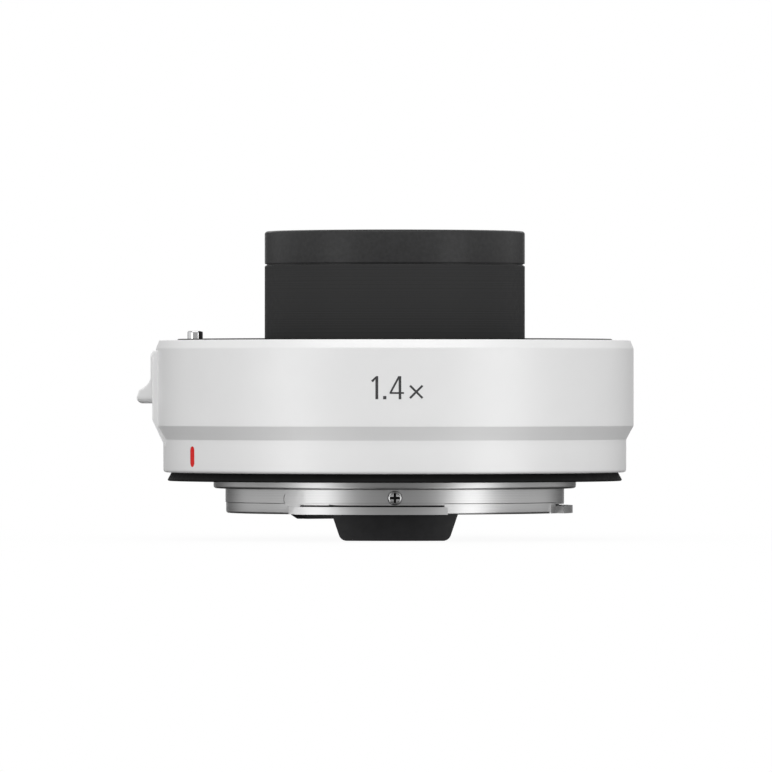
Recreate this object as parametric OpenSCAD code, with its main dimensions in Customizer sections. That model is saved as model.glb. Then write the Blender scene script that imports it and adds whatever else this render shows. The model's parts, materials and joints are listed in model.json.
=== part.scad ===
// Camera teleconverter with a sliding release lever, a sprung lock pin and sprung contacts.
// Lengths are millimetres. The optical axis is Z, the rear mount face is z = 0, the front looks up,
// and the viewer of the marked side stands at -Y with the release lever at -X.
// Azimuths are counted from -Y towards +X.

/* [Mounts] */
// Length from the rear mount face to the front mount face
mount_length = 20.3; // [19:0.1:24]
// Radius of the rear register that centres the part in its host
register_r = 27.03; // [25:0.01:30]
// Depth of the rear register
register_h = 1.94; // [1.7:0.02:2.2]
// Corner radius at the foot of the rear register
register_edge = 0.4; // [0.2:0.05:0.6]
// Step from the register in to the bayonet's spigot
spigot_step = 1.78; // [1.6:0.02:2]
// Wall thickness of the spigot
spigot_wall = 1.85; // [1.6:0.05:2.2]
// Length of the spigot below the rear mount face
spigot_len = 5.6; // [5:0.1:6.2]
// Reach of the bayonet lugs beyond the spigot
lug_reach = 1.29; // [1.1:0.02:1.4]
// Thickness of the bayonet lugs
lug_t = 1.25; // [1.1:0.05:1.4]
// Length of the pointed run-in of the near lug
lug_lead = 2.1; // [1.5:0.1:2.5]
// Width of the rear mount flange
flange_w = 4.17; // [3.8:0.05:4.6]
// Thickness of the rear mount flange
flange_t = 1.6; // [1.4:0.1:1.8]
// Width of the stainless front mount face
face_w = 4.63; // [4.2:0.05:5.1]
// Width of the black rim round the front mount face
rim_w = 0.65; // [0.5:0.05:0.8]
// Depth of the front cavity below the front mount face
cavity_depth = 7.9; // [7.2:0.1:8.6]
// Room left round a mating bayonet
mate_gap = 0.3; // [0.25:0.01:0.35]
// Small edge break of the mount rings
mount_edge = 0.1; // [0.05:0.01:0.12]
// Edge break at the mouth of the front throat
throat_edge = 0.3; // [0.2:0.05:0.4]

/* [Outer barrel] */
// Width of the white front face outside the black rim
shoulder_w = 3.15; // [2.9:0.05:3.5]
// Step from the main band in to the rear band
waist_step = 1.1; // [0.9:0.05:1.2]
// Height of the rear band's top above the rear mount face
waist_top = 5.33; // [4.8:0.1:5.9]
// Height of the cone between the two bands
cone_h = 2.04; // [1.8:0.1:2.3]
// Wall thickness of the barrel
barrel_wall = 1.7; // [1.5:0.05:1.9]
// Gap between the barrel's foot and the rear mount face
foot_gap = 0.44; // [0.4:0.02:0.5]
// Corner radius of the barrel's foot
foot_edge = 0.5; // [0.3:0.1:0.7]
// Height of the steep bevel at the barrel's top
bevel_h = 1.22; // [1:0.1:1.4]
// Width of the steep bevel at the barrel's top
bevel_w = 0.5; // [0.4:0.05:0.6]
// Corner radius of the barrel's top
top_edge = 0.2; // [0.1:0.05:0.25]
// Height of the front mount face above the barrel's top
face_proud = 0.2; // [0.15:0.05:0.3]

/* [Index marks] */
// Azimuth of the rear index mark
index_phi = -60; // [-70:0.2:-50]
// Height of the rear index mark's middle
index_z = 2.87; // [2.6:0.05:3.1]
// Length of the rear index mark
index_len = 3.1; // [2.6:0.1:3.4]
// Width of the rear index mark
index_w = 1.3; // [1:0.1:1.4]
// Depth of the pockets that hold the marks
index_depth = 0.3; // [0.25:0.01:0.4]
// Thickness of the red fill
index_fill = 0.25; // [0.15:0.01:0.25]
// Azimuth of the front index mark
front_index_phi = -1.6; // [-10:0.2:10]
// Radius of the front index mark
front_index_r = 0.8; // [0.6:0.05:1]

/* [Release lever] */
// Height of the flat lever pad above the main band
pad_proud = 0.45; // [0.4:0.01:0.5]
// Width of the lever pad
pad_w = 10.6; // [9.6:0.1:11.6]
// Height of the pad's foot above the cone
pad_rise = 1.03; // [0.9:0.05:1.2]
// Depth of the recess that the lever slides in
recess_depth = 0.85; // [0.75:0.05:0.95]
// Width of the lever
lever_w = 7; // [6.3:0.1:7.7]
// Height of the lever's face above the pad
lever_proud = 0.3; // [0.2:0.02:0.4]
// Reach of the hook beyond the lever's face
hook_reach = 2.05; // [1.8:0.05:2.3]
// Corner radius under the hook
hook_edge = 0.9; // [0.7:0.05:1]
// Height of the hook's tip above the lever's foot
hook_h = 1.92; // [1.7:0.02:2.1]
// Height of the hollow that runs from the hook to the lever's face
hollow_h = 2.18; // [2:0.05:2.4]
// Height of the lever's foot above the cone
lever_rise = 3.33; // [3:0.1:3.6]
// Depth of the lever's top below the front mount face
lever_drop = 2; // [1.8:0.1:2.2]
// Corner radius of the lever seen from outside
lever_corner = 1; // [0.6:0.1:1.2]
// Corner radius at the top of the lever's face
lever_edge = 0.4; // [0.3:0.05:0.5]
// Travel of the lever and the lock pin
lever_travel = 1.6; // [1.4:0.1:1.7]
// Width of the stem that passes the barrel's wall
stem_w = 3.6; // [3.2:0.1:4]
// Height of the stem
stem_h = 2.3; // [2.1:0.1:2.5]
// Width of the carriage
carriage_w = 6.4; // [5.8:0.1:7]
// Plate thickness of the carriage
carriage_t = 1; // [0.8:0.05:1.1]
// Clearance between the carriage and the barrel's inside
carriage_gap = 0.85; // [0.75:0.05:0.95]
// Drop from the stem to the carriage's eye
eye_drop = 1.6; // [1.4:0.1:1.8]
// Width of the pocket in the frame
pocket_w = 8.8; // [8:0.1:9.6]

/* [Lock pin] */
// Radius of the lock pin's nose
pin_r = 1.15; // [1.05:0.05:1.25]
// Step from the nose out to the guided shank
pin_step = 0.12; // [0.1:0.01:0.15]
// Height of the lock pin above the front mount face
pin_proud = 1.28; // [1.1:0.02:1.4]
// Corner radius of the lock pin's nose
pin_edge = 0.35; // [0.25:0.05:0.45]
// Thickness of the lock pin's collar
collar_t = 1; // [0.9:0.1:1.1]
// Height of the ledge under the spring above the frame's deck
ledge_h = 2; // [1.8:0.1:2.2]
// Wire radius of the spring
wire_r = 0.2; // [0.17:0.01:0.21]
// Number of turns of the spring
coil_turns = 7; // [5:1:8]
// Clearance between the pin and its spring
coil_gap = 0.16; // [0.12:0.01:0.18]

/* [Frame] */
// Wall thickness of the front mount ring's collar
collar_wall = 1.16; // [1:0.05:1.3]
// Wall thickness of the frame
frame_wall = 2.1; // [1.9:0.1:2.3]
// Thickness of the frame under the front mount
roof_t = 2; // [1.8:0.1:2.2]
// Thickness of the frame above the rear mount
deck_t = 1.45; // [1.3:0.05:1.6]
// Bore of the deck beyond the rear mount ring's bore
deck_gap = 0.8; // [0.7:0.05:0.9]
// Thickness of the frame's inner web
web_t = 1.5; // [1.3:0.1:1.7]
// Drop from the cavity's floor to the inner web
web_drop = 3.5; // [3.3:0.1:3.8]
// Thickness of the cavity's floor
floor_t = 1; // [0.9:0.1:1.1]
// Wall thickness of the cavity's cup
cup_wall = 0.6; // [0.5:0.05:0.65]
// Thickness of the brass shim
shim_t = 0.15; // [0.1:0.05:0.2]
// Thickness of the bayonet's spring plate
spring_t = 0.25; // [0.2:0.01:0.3]
// Thickness of the gasket's lip
lip_t = 0.22; // [0.18:0.01:0.25]
// Depth of the gasket's lip below the rear mount face
lip_drop = 0.84; // [0.7:0.02:0.95]
// Distance of the gasket's lip from the barrel's outside
lip_step = 0.65; // [0.55:0.05:0.75]

/* [Front tube] */
// Radial room between the tube and a mating mount ring
tube_gap = 4; // [3.6:0.1:4.4]
// Height of the tube's front end above the front mount face
tube_h = 16.05; // [15:0.05:17.5]
// Wall thickness of the tube
tube_wall = 1.4; // [1.3:0.05:1.5]
// Height of the cap ring at the tube's front end
cap_h = 4.9; // [4.5:0.1:5.3]
// Corner radius of the cap ring
cap_edge = 0.4; // [0.3:0.05:0.5]
// Width of the seam below the cap ring
seam_w = 0.2; // [0.15:0.01:0.25]
// Edge break at the seam
seam_edge = 0.15; // [0.1:0.01:0.18]
// Depth of the hood in front of the glass
hood_depth = 2.85; // [2.6:0.05:3.1]
// Straight height of the hood's lip
hood_lip = 0.7; // [0.6:0.05:0.8]
// Flare of the hood
hood_flare = 1.6; // [1.4:0.1:1.7]

/* [Lens barrel] */
// Step from the tube out to the lens barrel's rear part
core_step = 1.1; // [1:0.05:1.2]
// Wall thickness of the lens barrel's rear part
core_wall = 2.1; // [1.9:0.05:2.3]
// Thickness of the lens barrel's flange
plate_t = 1.5; // [1.4:0.1:1.6]
// Clearance between that flange and the cavity's cup
plate_gap = 0.5; // [0.4:0.05:0.6]
// Thickness of the shoulder over the rear cell
shoulder_t = 1.2; // [1.1:0.05:1.3]
// Clearance behind the rear cell
cell_gap = 0.4; // [0.3:0.05:0.5]

/* [Optics] */
// Radial wall round the front cemented pair
pair_wall = 1.95; // [1.8:0.05:2.1]
// Radial wall round the cemented triplet
triplet_wall = 3.2; // [2.9:0.05:3.5]
// Radial wall from the rear cell's outside to the third element
third_wall = 3.35; // [3.1:0.05:3.6]
// Radial wall from the rear cell's outside to the rear element
rear_wall = 2.05; // [1.9:0.05:2.2]
// Rim thickness of the strong elements
rim_t = 0.8; // [0.7:0.05:0.9]
// Rim thickness of the rear element
rear_rim_t = 0.9; // [0.8:0.05:1]
// Middle thickness of the weak elements
thin_t = 1.4; // [1.2:0.05:1.5]
// Depth of the pair's seat below the lens barrel's front
pair_depth = 5.5; // [5.2:0.1:5.8]
// Distance from the pair's seat to the triplet's seat
group_gap = 4.5; // [4.2:0.1:4.8]
// Width of the lips that seat the glass
seat_w = 1.2; // [1.1:0.05:1.3]
// Height of the threaded rings behind the glass
ring_h = 1.1; // [1:0.05:1.2]
// Thickness of the lip in front of the third element
cell_lip = 0.65; // [0.6:0.05:0.7]
// Height of the spacer between the two rear elements
spacer_h = 1.45; // [1.3:0.05:1.6]
// Clearance between glass and the rings that hold it
glass_gap = 0.02; // [0.01:0.01:0.03]
// Width of the spanner slots
slot_w = 0.8; // [0.6:0.1:1]
// Depth of the spanner slots
slot_depth = 0.4; // [0.3:0.05:0.5]

/* [Contacts] */
// Number of contacts
contact_count = 12; // [8:1:12]
// Pitch angle of the contacts
contact_pitch = 4.75; // [4.6:0.05:4.9]
// Azimuth of the middle of the contacts
contact_phi = 188.8; // [186:0.2:191]
// Angle from the last contact to the block's end
block_end_phi = 7.1; // [6.8:0.1:7.4]
// Angle from the block's end to its screw
ear_phi = 4.2; // [4:0.1:4.4]
// Radius of a sprung contact
contact_r = 0.5; // [0.45:0.01:0.55]
// Length of a sprung contact
contact_len = 3.9; // [3.6:0.1:4.2]
// Travel of the sprung contacts
contact_travel = 0.9; // [0.8:0.05:1]
// Clearance of a sprung contact in its hole
contact_gap = 0.04; // [0.03:0.01:0.05]
// Depth of the rear contact face below the rear mount face
pad_plane = 6.75; // [6.4:0.05:7.1]
// Width of a rear contact pad
contact_pad_w = 1; // [0.9:0.05:1.1]
// Thickness of a rear contact pad
contact_pad_t = 0.5; // [0.4:0.05:0.6]
// Margin of the pads in the rear block's face
pad_margin = 0.4; // [0.35:0.05:0.45]
// Length of the bevel at the rear block's ends
end_bevel = 1.2; // [1.1:0.05:1.3]
// Height of the bevel at the rear block's ends
end_bevel_h = 0.62; // [0.5:0.05:0.7]
// Depth of the rear block's top below the rear mount face
block_drop = 0.5; // [0.4:0.05:0.6]
// Clearance between the contact blocks and the tubes beside them
block_gap = 0.3; // [0.25:0.05:0.35]

/* [Rear shield] */
// Width of the rear tab at the mount ring's end
rear_tab_w = 18.7; // [17:0.1:20]
// Width of the rear tab at its tip
tip_tab_w = 16.1; // [14.5:0.1:16.8]
// Depth of the rear tab's tip below the rear mount face
rear_tab_drop = 9.47; // [8.6:0.05:10.4]
// Corner radius of the rear tab's tip
rear_tab_edge = 1.2; // [1:0.1:1.4]
// Slope of the rear tab's sides
rear_tab_slope = 18; // [12:1:20]
// Thickness of the rear tab
rear_tab_t = 2; // [1.8:0.1:2.2]
// Set-back of the shield from the mount ring's end
shield_rise = 0.25; // [0.2:0.05:0.3]
// Clearance between the shield's wall and the lens barrel
shield_gap = 0.35; // [0.3:0.05:0.4]
// Step from the rear element in to the shield's opening
shield_lip = 0.7; // [0.6:0.05:0.8]
// Flare of the shield's opening
shield_flare = 1.6; // [1.4:0.1:1.8]
// Depth of the radial screws below the rear mount face
shield_screw_drop = 3.15; // [2.9:0.05:3.3]
// Azimuth of the pocket milled in the spigot
pocket_phi = -35.85; // [-37:0.05:-35]
// Depth of that pocket's middle below the rear mount face
pocket_drop = 3.33; // [3.2:0.02:3.4]
// Corner radius of that pocket
pocket_r = 1.05; // [0.9:0.05:1.1]
// Straight length of that pocket
pocket_l = 2; // [1.8:0.1:2.2]
// Depth of that pocket in the spigot's wall
pocket_depth = 0.16; // [0.12:0.02:0.3]

/* [Screws] */
// Thread radius of the mount screws
mount_screw_r = 0.8; // [0.7:0.05:0.9]
// Head radius of the mount screws
mount_head_r = 1.2; // [1.1:0.05:1.3]
// Length of the front mount screws
front_screw_len = 3.8; // [3.5:0.1:3.9]
// Length of the rear mount screws
rear_screw_len = 2.4; // [2.2:0.1:2.6]
// Thread radius of the lens barrel's screws
plate_screw_r = 0.6; // [0.55:0.05:0.65]
// Length of the lens barrel's screws
plate_screw_len = 2.7; // [2.5:0.1:2.9]
// Thread radius of the board's and the shield's screws
small_screw_r = 0.5; // [0.45:0.05:0.55]
// Length of the board's screws
board_screw_len = 2; // [1.8:0.1:2.2]
// Length of the shield's screws
shield_screw_len = 3.6; // [3.3:0.1:3.8]
// Thread radius of the lever's screws
lever_screw_r = 0.4; // [0.35:0.05:0.45]
// Length of the lever's screws
lever_screw_len = 2.5; // [2.3:0.1:2.7]
// Distance between the lever's screws
lever_screw_pitch = 1.9; // [1.8:0.1:2]
// Thread radius of the rear contact block's screws
ear_screw_r = 0.3; // [0.25:0.05:0.35]
// Head radius of the rear contact block's screws
ear_head_r = 0.5; // [0.45:0.05:0.55]
// Length of the rear contact block's screws
ear_screw_len = 2.5; // [2.2:0.1:2.8]
// Height of a flush head's rim
head_rim = 0.15; // [0.1:0.01:0.18]
// Depth of a flush head below the face round it
head_sink = 0.05; // [0.03:0.01:0.08]
// Depth of a cross recess
cross_depth = 0.45; // [0.35:0.05:0.5]
// Clearance round a screw
thread_gap = 0.02; // [0.01:0.01:0.04]

/* [Board] */
// Thickness of the circuit board
board_t = 0.9; // [0.8:0.05:1]
// Clearance between the board and the lens barrel
board_gap = 0.9; // [0.8:0.05:1]
// Height of the chips
chip_h = 0.9; // [0.8:0.05:1]
// Side of a small chip
chip_w = 3; // [2.6:0.1:3.3]
// Thickness of the contact ribbon
flex_t = 0.2; // [0.15:0.01:0.25]
// Width of the contact ribbon
flex_w = 8; // [7:0.1:8.8]
// Clearance between the ribbon and the lens barrel
flex_gap = 1.1; // [1:0.05:1.2]
// Width of the ribbon's tail
tail_w = 2.6; // [2.3:0.1:2.9]

/* [Fits] */
// Clearance between pieces that are fitted together
fit_gap = 0.05; // [0.03:0.01:0.06]
// Clearance between pieces that must not touch
free_gap = 0.15; // [0.12:0.01:0.18]
// Clearance between pieces that pass each other inside
pass_gap = 0.25; // [0.22:0.01:0.28]

/* [Hidden] */
$fn = 144;
lens_fn = 256;
e = 0.01;
far = 60;

// Radii, from the register outwards and inwards
throat_r = register_r + fit_gap;
spigot_r = register_r - spigot_step;
mount_bore_r = spigot_r - spigot_wall;
lug_r = spigot_r + lug_reach;
gap_r = lug_r + mate_gap;
tab_r = spigot_r + mate_gap;
collar_r = gap_r + collar_wall;
flange_r = register_r + flange_w;
lock_r = register_r + flange_w * 0.655;
face_r = throat_r + face_w;
trim_r = face_r + fit_gap + rim_w;
barrel_r = trim_r + fit_gap + shoulder_w;
waist_r = barrel_r - waist_step;
shell_in = barrel_r - barrel_wall;
waist_in = waist_r - barrel_wall;
frame_in = collar_r + fit_gap;
cup_in = gap_r + fit_gap;
cup_out = cup_in + cup_wall;
tube_r = mount_bore_r - tube_gap;
tube_in = tube_r - tube_wall;
core_r = tube_in - fit_gap;
core_out = tube_r + core_step;
cell_r = core_out - core_wall - fit_gap;
plate_r = cup_in - plate_gap;
plate_screw_at = core_out + (plate_r - core_out) * 0.63;
rear_screw_at = register_r + flange_w * 0.52;
front_screw_at = throat_r + face_w * 0.5;
front_index_at = trim_r + shoulder_w * 0.45;

// Heights
front_z = mount_length;
barrel_top = front_z - face_proud;
cone_top = waist_top + cone_h;
seat_z = front_z - register_h - free_gap;
roof_z = seat_z - roof_t;
spring_z = front_z - spigot_len + lug_t + mount_edge;
collar_z = spring_z + spring_t;
cup_top = spring_z - fit_gap;
floor_z = front_z - cavity_depth;
web_top = floor_z - web_drop;
web_z = web_top - web_t;
plate_top = web_top + plate_t;
deck_z = flange_t + shim_t;
deck_top = deck_z + deck_t;
ledge_z = deck_top + ledge_h;
tube_top = front_z + tube_h;
cap_z = tube_top - cap_h;
core_top = tube_top - hood_depth;
shoulder_z = plate_top - shoulder_t;
cell_top = shoulder_z - fit_gap;

// Release lever and lock pin
pad_x = barrel_r + pad_proud;
lever_x = pad_x + lever_proud;
hook_x = lever_x + hook_reach;
recess_x = pad_x - recess_depth;
recess_w = lever_w + 2 * pass_gap;
pad_foot = cone_top + pad_rise;
pad_root = shell_in + pass_gap;
lever_foot = cone_top + lever_rise;
lever_top = front_z - lever_drop;
recess_z = lever_foot - lever_travel - pass_gap;
recess_top = lever_top + pass_gap;
stem_top = roof_z - free_gap;
stem_z = stem_top - stem_h;
stem_mid = (stem_z + stem_top) / 2;
carriage_x = shell_in - carriage_gap;
carriage_in = carriage_x - carriage_t;
eye_z = stem_z - eye_drop;
eye_r = lock_r - cup_out - pass_gap;
shank_r = pin_r + pin_step;
pin_top = front_z + pin_proud;
pin_foot = ledge_z + lever_travel + pass_gap;
pin_collar_r = eye_r - free_gap;
pin_collar_z = eye_z - collar_t;

// Optics: glass radii, face radii as shares of them, and the stack of rims and vertices
pair_r = core_r - pair_wall;
triplet_r = core_r - triplet_wall;
third_r = cell_r - third_wall;
rear_r = cell_r - rear_wall;
stop_r = triplet_r - seat_w;
pair_front = pair_r * 2.8;
pair_middle = pair_r * 1.75;
pair_back = pair_r * 5.6;
triplet_front = triplet_r * 4;
triplet_a = triplet_r * 2.03;
triplet_b = triplet_r * 1.76;
triplet_back = triplet_r * 4.75;
third_front = third_r * 2.67;
third_back = third_r * 2.53;
rear_front = rear_r * 2.76;
rear_back = rear_r * 7.4;
pair_seat = core_top - pair_depth;
pair_mid_z = pair_seat + rim_t + sag(pair_r, pair_middle);
pair_front_z = pair_mid_z + thin_t;
pair_rim = pair_front_z - sag(pair_r, pair_front);
triplet_seat = pair_seat - group_gap;
triplet_a_z = triplet_seat - rim_t - sag(triplet_r, triplet_a);
triplet_b_z = triplet_a_z - thin_t;
triplet_rim = triplet_b_z - sag(triplet_r, triplet_b) - rim_t;
third_rim = cell_top - cell_lip;
third_z = third_rim - sag(third_r, third_front);
third_back_z = third_z - thin_t;
third_back_rim = third_back_z - sag(third_r, third_back);
rear_rim = third_back_rim - spacer_h;
rear_z = rear_rim + sag(rear_r, rear_front);
rear_back_rim = rear_rim - rear_rim_t;
cell_z = rear_back_rim - ring_h - free_gap;
core_z = cell_z - cell_gap;

// Contacts, rear shield and board
block_in = core_out + block_gap;
block_out = mount_bore_r - fit_gap;
contact_at = (block_in + block_out) / 2;
contact_pad_l = block_out - block_in - 2 * pad_margin;
block_half = contact_pitch * (contact_count - 1) / 2 + block_end_phi;
contact_tip = front_z - pad_plane + contact_travel;
contact_foot = contact_tip - contact_len;
front_block_top = floor_z + floor_t * 0.6;
shield_z = -spigot_len + shield_rise;
shield_top = core_z - fit_gap;
shield_open = rear_r - shield_lip;
shield_in = core_out + shield_gap;
board_z = web_z - board_t;
flex_at = core_out + flex_gap;
board_from = -120;
board_to = 140;
flex_phi = 180;
flex_slot_half = 14;

// Head radius of the shield's screws
shield_head_r = small_screw_r * 2.1;

// Azimuths of screws, tabs and lugs
mount_screw_phis = [40, 130, 220, 310];
plate_screw_phis = [40, 120, 240, 320];
board_screw_phis = [0, 80, 280];
shield_screw_phis = [0, 115, 245];
female_tabs = [[79, 128.7], [190, 246], [302, 384]];
lugs = [[-34, 17], [70.7, 128], [188, 240]];
// Azimuth of each chip, with its length and width as shares of a small chip's side
chips = [[20, 1.4, 1.4], [45, 1, 1], [105, 1.6, 1.4], [125, 0.8, 1], [315, 1.4, 1.6], [340, 1, 0.8],
    [255, 1, 1]];

// Depth of a spherical face of radius s at the rim radius r
function sag(r, s) = s - sqrt(s * s - r * r);

// Points of an arc round (x, z) from angle a0 to angle a1
function arc(x, z, r, a0, a1, n = 6) =
    [for (i = [0:n]) [x + r * cos(a0 + (a1 - a0) * i / n), z + r * sin(a0 + (a1 - a0) * i / n)]];

// Turns its children so that local +X looks at azimuth phi
module at(phi) {
    rotate([0, 0, phi - 90]) children();
}

// The same at each of several azimuths, at a distance from the axis and a height
module around(phis, distance, z) {
    for (phi = phis) at(phi) translate([distance, 0, z]) children();
}

// The same at the place of each contact
module at_contacts() {
    for (i = [0:contact_count - 1])
        at(contact_phi + (i - (contact_count - 1) / 2) * contact_pitch)
            translate([contact_at, 0, 0]) children();
}

// The same at the two ends of the rear contact block
module at_ears() {
    for (s = [-1, 1])
        at(contact_phi + s * (block_half - ear_phi)) translate([contact_at, 0, head_sink - pad_plane])
            rotate([180, 0, 0]) children();
}

// A turned solid from (radius, height) points
module turned(points) {
    rotate_extrude() polygon(points);
}

// A plain ring
module ring(r_in, r_out, z0, z1) {
    rotate_extrude() translate([r_in, z0]) square([r_out - r_in, z1 - z0]);
}

// A part of a plain ring between two azimuths
module sector(r_in, r_out, z0, z1, phi0, phi1) {
    at(phi0) rotate_extrude(angle = phi1 - phi0) translate([r_in, z0]) square([r_out - r_in, z1 - z0]);
}

// The sector of the contact blocks, wider by some degrees at each end
module block_sector(r_in, r_out, z0, z1, more) {
    sector(r_in, r_out, z0, z1, contact_phi - block_half - more, contact_phi + block_half + more);
}

// A plain cylinder between two heights
module post(r, z0, z1) {
    translate([0, 0, z0]) cylinder(r = r, h = z1 - z0);
}

// A plain box from its least corner to its greatest
module block(low, high) {
    translate(low) cube(high - low);
}

// A profile in the plane of X and Z, drawn out across Y and centred on it
module across(points, w) {
    translate([0, w / 2, 0]) rotate([90, 0, 0]) linear_extrude(w) polygon(points);
}

// A profile in the plane of Y and Z, drawn out along +X
module along(points, l) {
    rotate([90, 0, 90]) linear_extrude(l) polygon(points);
}

// The cross recess of a small screw, cut down from z = 0
module cross_cut(r, depth) {
    for (a = [0, 90]) rotate([0, 0, a]) block([-r, -r * 0.16, -depth], [r, r * 0.16, depth]);
}

// A flush screw that looks up, with its head face at z = 0
module flush_screw(r, head_r, len) {
    difference() {
        union() {
            post(r, -len, -head_rim);
            translate([0, 0, r - head_r - head_rim]) cylinder(r1 = r, r2 = head_r, h = head_r - r);
            post(head_r, -head_rim, 0);
        }
        cross_cut(head_r * 0.74, min(cross_depth, head_r * 0.7));
    }
}

// The space that a flush screw needs
module flush_hole(r, head_r, len) {
    post(r + thread_gap, -len - thread_gap, -head_rim);
    translate([0, 0, r - head_r - head_rim - head_sink])
        cylinder(r1 = r + thread_gap, r2 = head_r + thread_gap, h = head_r - r);
    post(head_r + thread_gap, -head_rim - head_sink - e, head_r);
}

// A pan-head screw that looks up, with its seat at z = 0
module pan_screw(r, len) {
    head_h = r * 1.2;
    difference() {
        union() {
            post(r, -len, e);
            post(r * 1.95, 0, head_h);
        }
        translate([0, 0, head_h]) cross_cut(r * 1.3, head_h * 0.6);
    }
}

// A lens: front and back are face radii, positive when convex, and z0 and z1 are the rear and front vertices
module lens(r, front, back, z0, z1) {
    $fn = lens_fn;
    difference() {
        intersection() {
            post(r, z0 - r, z1 + r);
            if (front > 0) translate([0, 0, z1 - front]) sphere(r = front);
            if (back > 0) translate([0, 0, z0 + back]) sphere(r = back);
        }
        if (front < 0) translate([0, 0, z1 - front]) sphere(r = -front);
        if (back < 0) translate([0, 0, z0 + back]) sphere(r = -back);
    }
}

// A threaded ring that holds glass: its seat follows a face of radius s, and two spanner slots are cut
// in its free side. The free side is at z = free and the glass's rim at z = rim.
module glass_ring(r, s, rim, free) {
    side = free > rim ? 1 : -1;
    inner = r - seat_w;
    inner_rim = rim + side * (sag(r, s) - sag(inner, s) + glass_gap);
    difference() {
        turned([[inner, inner_rim], [r, rim + side * glass_gap], [r, free], [inner, free]]);
        for (x = [-1, 1]) block([x * (r - seat_w / 2) - seat_w, -slot_w / 2, free - slot_depth],
            [x * (r - seat_w / 2) + seat_w, slot_w / 2, free + slot_depth]);
    }
}

// An upright stadium that sticks out along local X
module stadium(x0, x1, w, l) {
    for (s = [-1, 1]) translate([x0, 0, s * (l - w) / 2]) rotate([0, 90, 0]) cylinder(r = w / 2, h = x1 - x0);
    block([x0, -w / 2, (w - l) / 2], [x1, w / 2, (l - w) / 2]);
}

module outer_barrel() {
    color("white") difference() {
        union() {
            turned(concat(
                [[waist_in, foot_gap]],
                arc(waist_r - foot_edge, foot_gap + foot_edge, foot_edge, -90, 0),
                [[waist_r, waist_top], [barrel_r, cone_top], [barrel_r, barrel_top - bevel_h]],
                arc(barrel_r - bevel_w - top_edge, barrel_top - top_edge, top_edge, 18, 90, 4),
                [[trim_r + fit_gap, barrel_top], [trim_r + fit_gap, seat_z], [shell_in, seat_z],
                 [shell_in, cone_top], [waist_in, waist_top]]));
            lever_pad();
        }
        // The recess that the lever slides in, the slot for its stem, and the index pockets
        block([-hook_x, -recess_w / 2, recess_z], [-recess_x, recess_w / 2, recess_top]);
        block([-pad_x, -stem_w / 2 - free_gap, stem_z - lever_travel - free_gap],
            [-carriage_x, stem_w / 2 + free_gap, stem_top + free_gap]);
        at(index_phi) translate([0, 0, index_z]) stadium(waist_r - index_depth, barrel_r, index_w, index_len);
        around([front_index_phi], front_index_at, 0)
            post(front_index_r, barrel_top - index_depth, front_z);
    }
}

// The flat pad under the lever, with its foot sloped like the cone
module lever_pad() {
    slope = cone_h / waist_step;
    difference() {
        across([[-pad_x, pad_foot], [-pad_x, recess_top], [-pad_root, recess_top],
            [-pad_root, pad_foot - (pad_x - pad_root) * slope]], pad_w);
        post(shell_in + free_gap, 0, front_z);
    }
}

module index_marks() {
    color("red") {
        at(index_phi) translate([0, 0, index_z]) stadium(waist_r - index_depth,
            waist_r - index_depth + index_fill, index_w - fit_gap, index_len - fit_gap);
        around([front_index_phi], front_index_at, 0)
            post(front_index_r - fit_gap / 2, barrel_top - index_depth,
                barrel_top - index_depth + index_fill);
    }
}

module front_trim_ring() {
    color("dimgray") turned([[face_r + fit_gap, seat_z], [trim_r, seat_z], [trim_r, front_z - mount_edge],
        [trim_r - mount_edge, front_z], [face_r + fit_gap, front_z]]);
}

module front_mount_ring() {
    color("silver") difference() {
        union() {
            turned([[gap_r, collar_z], [collar_r, collar_z], [collar_r, seat_z], [face_r, seat_z],
                [face_r, front_z - mount_edge], [face_r - mount_edge, front_z],
                [throat_r + throat_edge, front_z], [throat_r, front_z - throat_edge],
                [throat_r, seat_z - fit_gap], [gap_r, seat_z - fit_gap]]);
            for (t = female_tabs) sector(tab_r, gap_r + free_gap, collar_z, seat_z - free_gap, t[0], t[1]);
        }
        translate([-lock_r, 0, 0]) post(shank_r + fit_gap, collar_z, front_z + e);
        around(mount_screw_phis, front_screw_at, front_z - head_sink)
            flush_hole(mount_screw_r, mount_head_r, front_screw_len);
    }
}

module front_mount_screws() {
    color("gray") around(mount_screw_phis, front_screw_at, front_z - head_sink)
        flush_screw(mount_screw_r, mount_head_r, front_screw_len);
}

// A spring plate with a finger under each tab of the front bayonet
module mount_spring() {
    finger_end = 3;
    color("lightsteelblue") difference() {
        ring(tab_r + free_gap, collar_r - fit_gap, spring_z, collar_z);
        for (i = [0:2]) sector(tab_r - mate_gap, gap_r + free_gap, spring_z - e, collar_z + e,
            female_tabs[i][1] - finger_end, female_tabs[(i + 1) % 3][0] + finger_end + (i == 2 ? 360 : 0));
    }
}

module lock_pin() {
    color("gainsboro") translate([-lock_r, 0, 0]) turned(concat(
        [[0, pin_foot], [shank_r - pin_step, pin_foot], [shank_r, pin_foot + pin_step],
         [shank_r, pin_collar_z], [pin_collar_r, pin_collar_z], [pin_collar_r, eye_z], [shank_r, eye_z],
         [shank_r, front_z], [pin_r, front_z]],
        arc(pin_r - pin_edge, pin_top - pin_edge, pin_edge, 0, 90, 5), [[0, pin_top]]));
}

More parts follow.
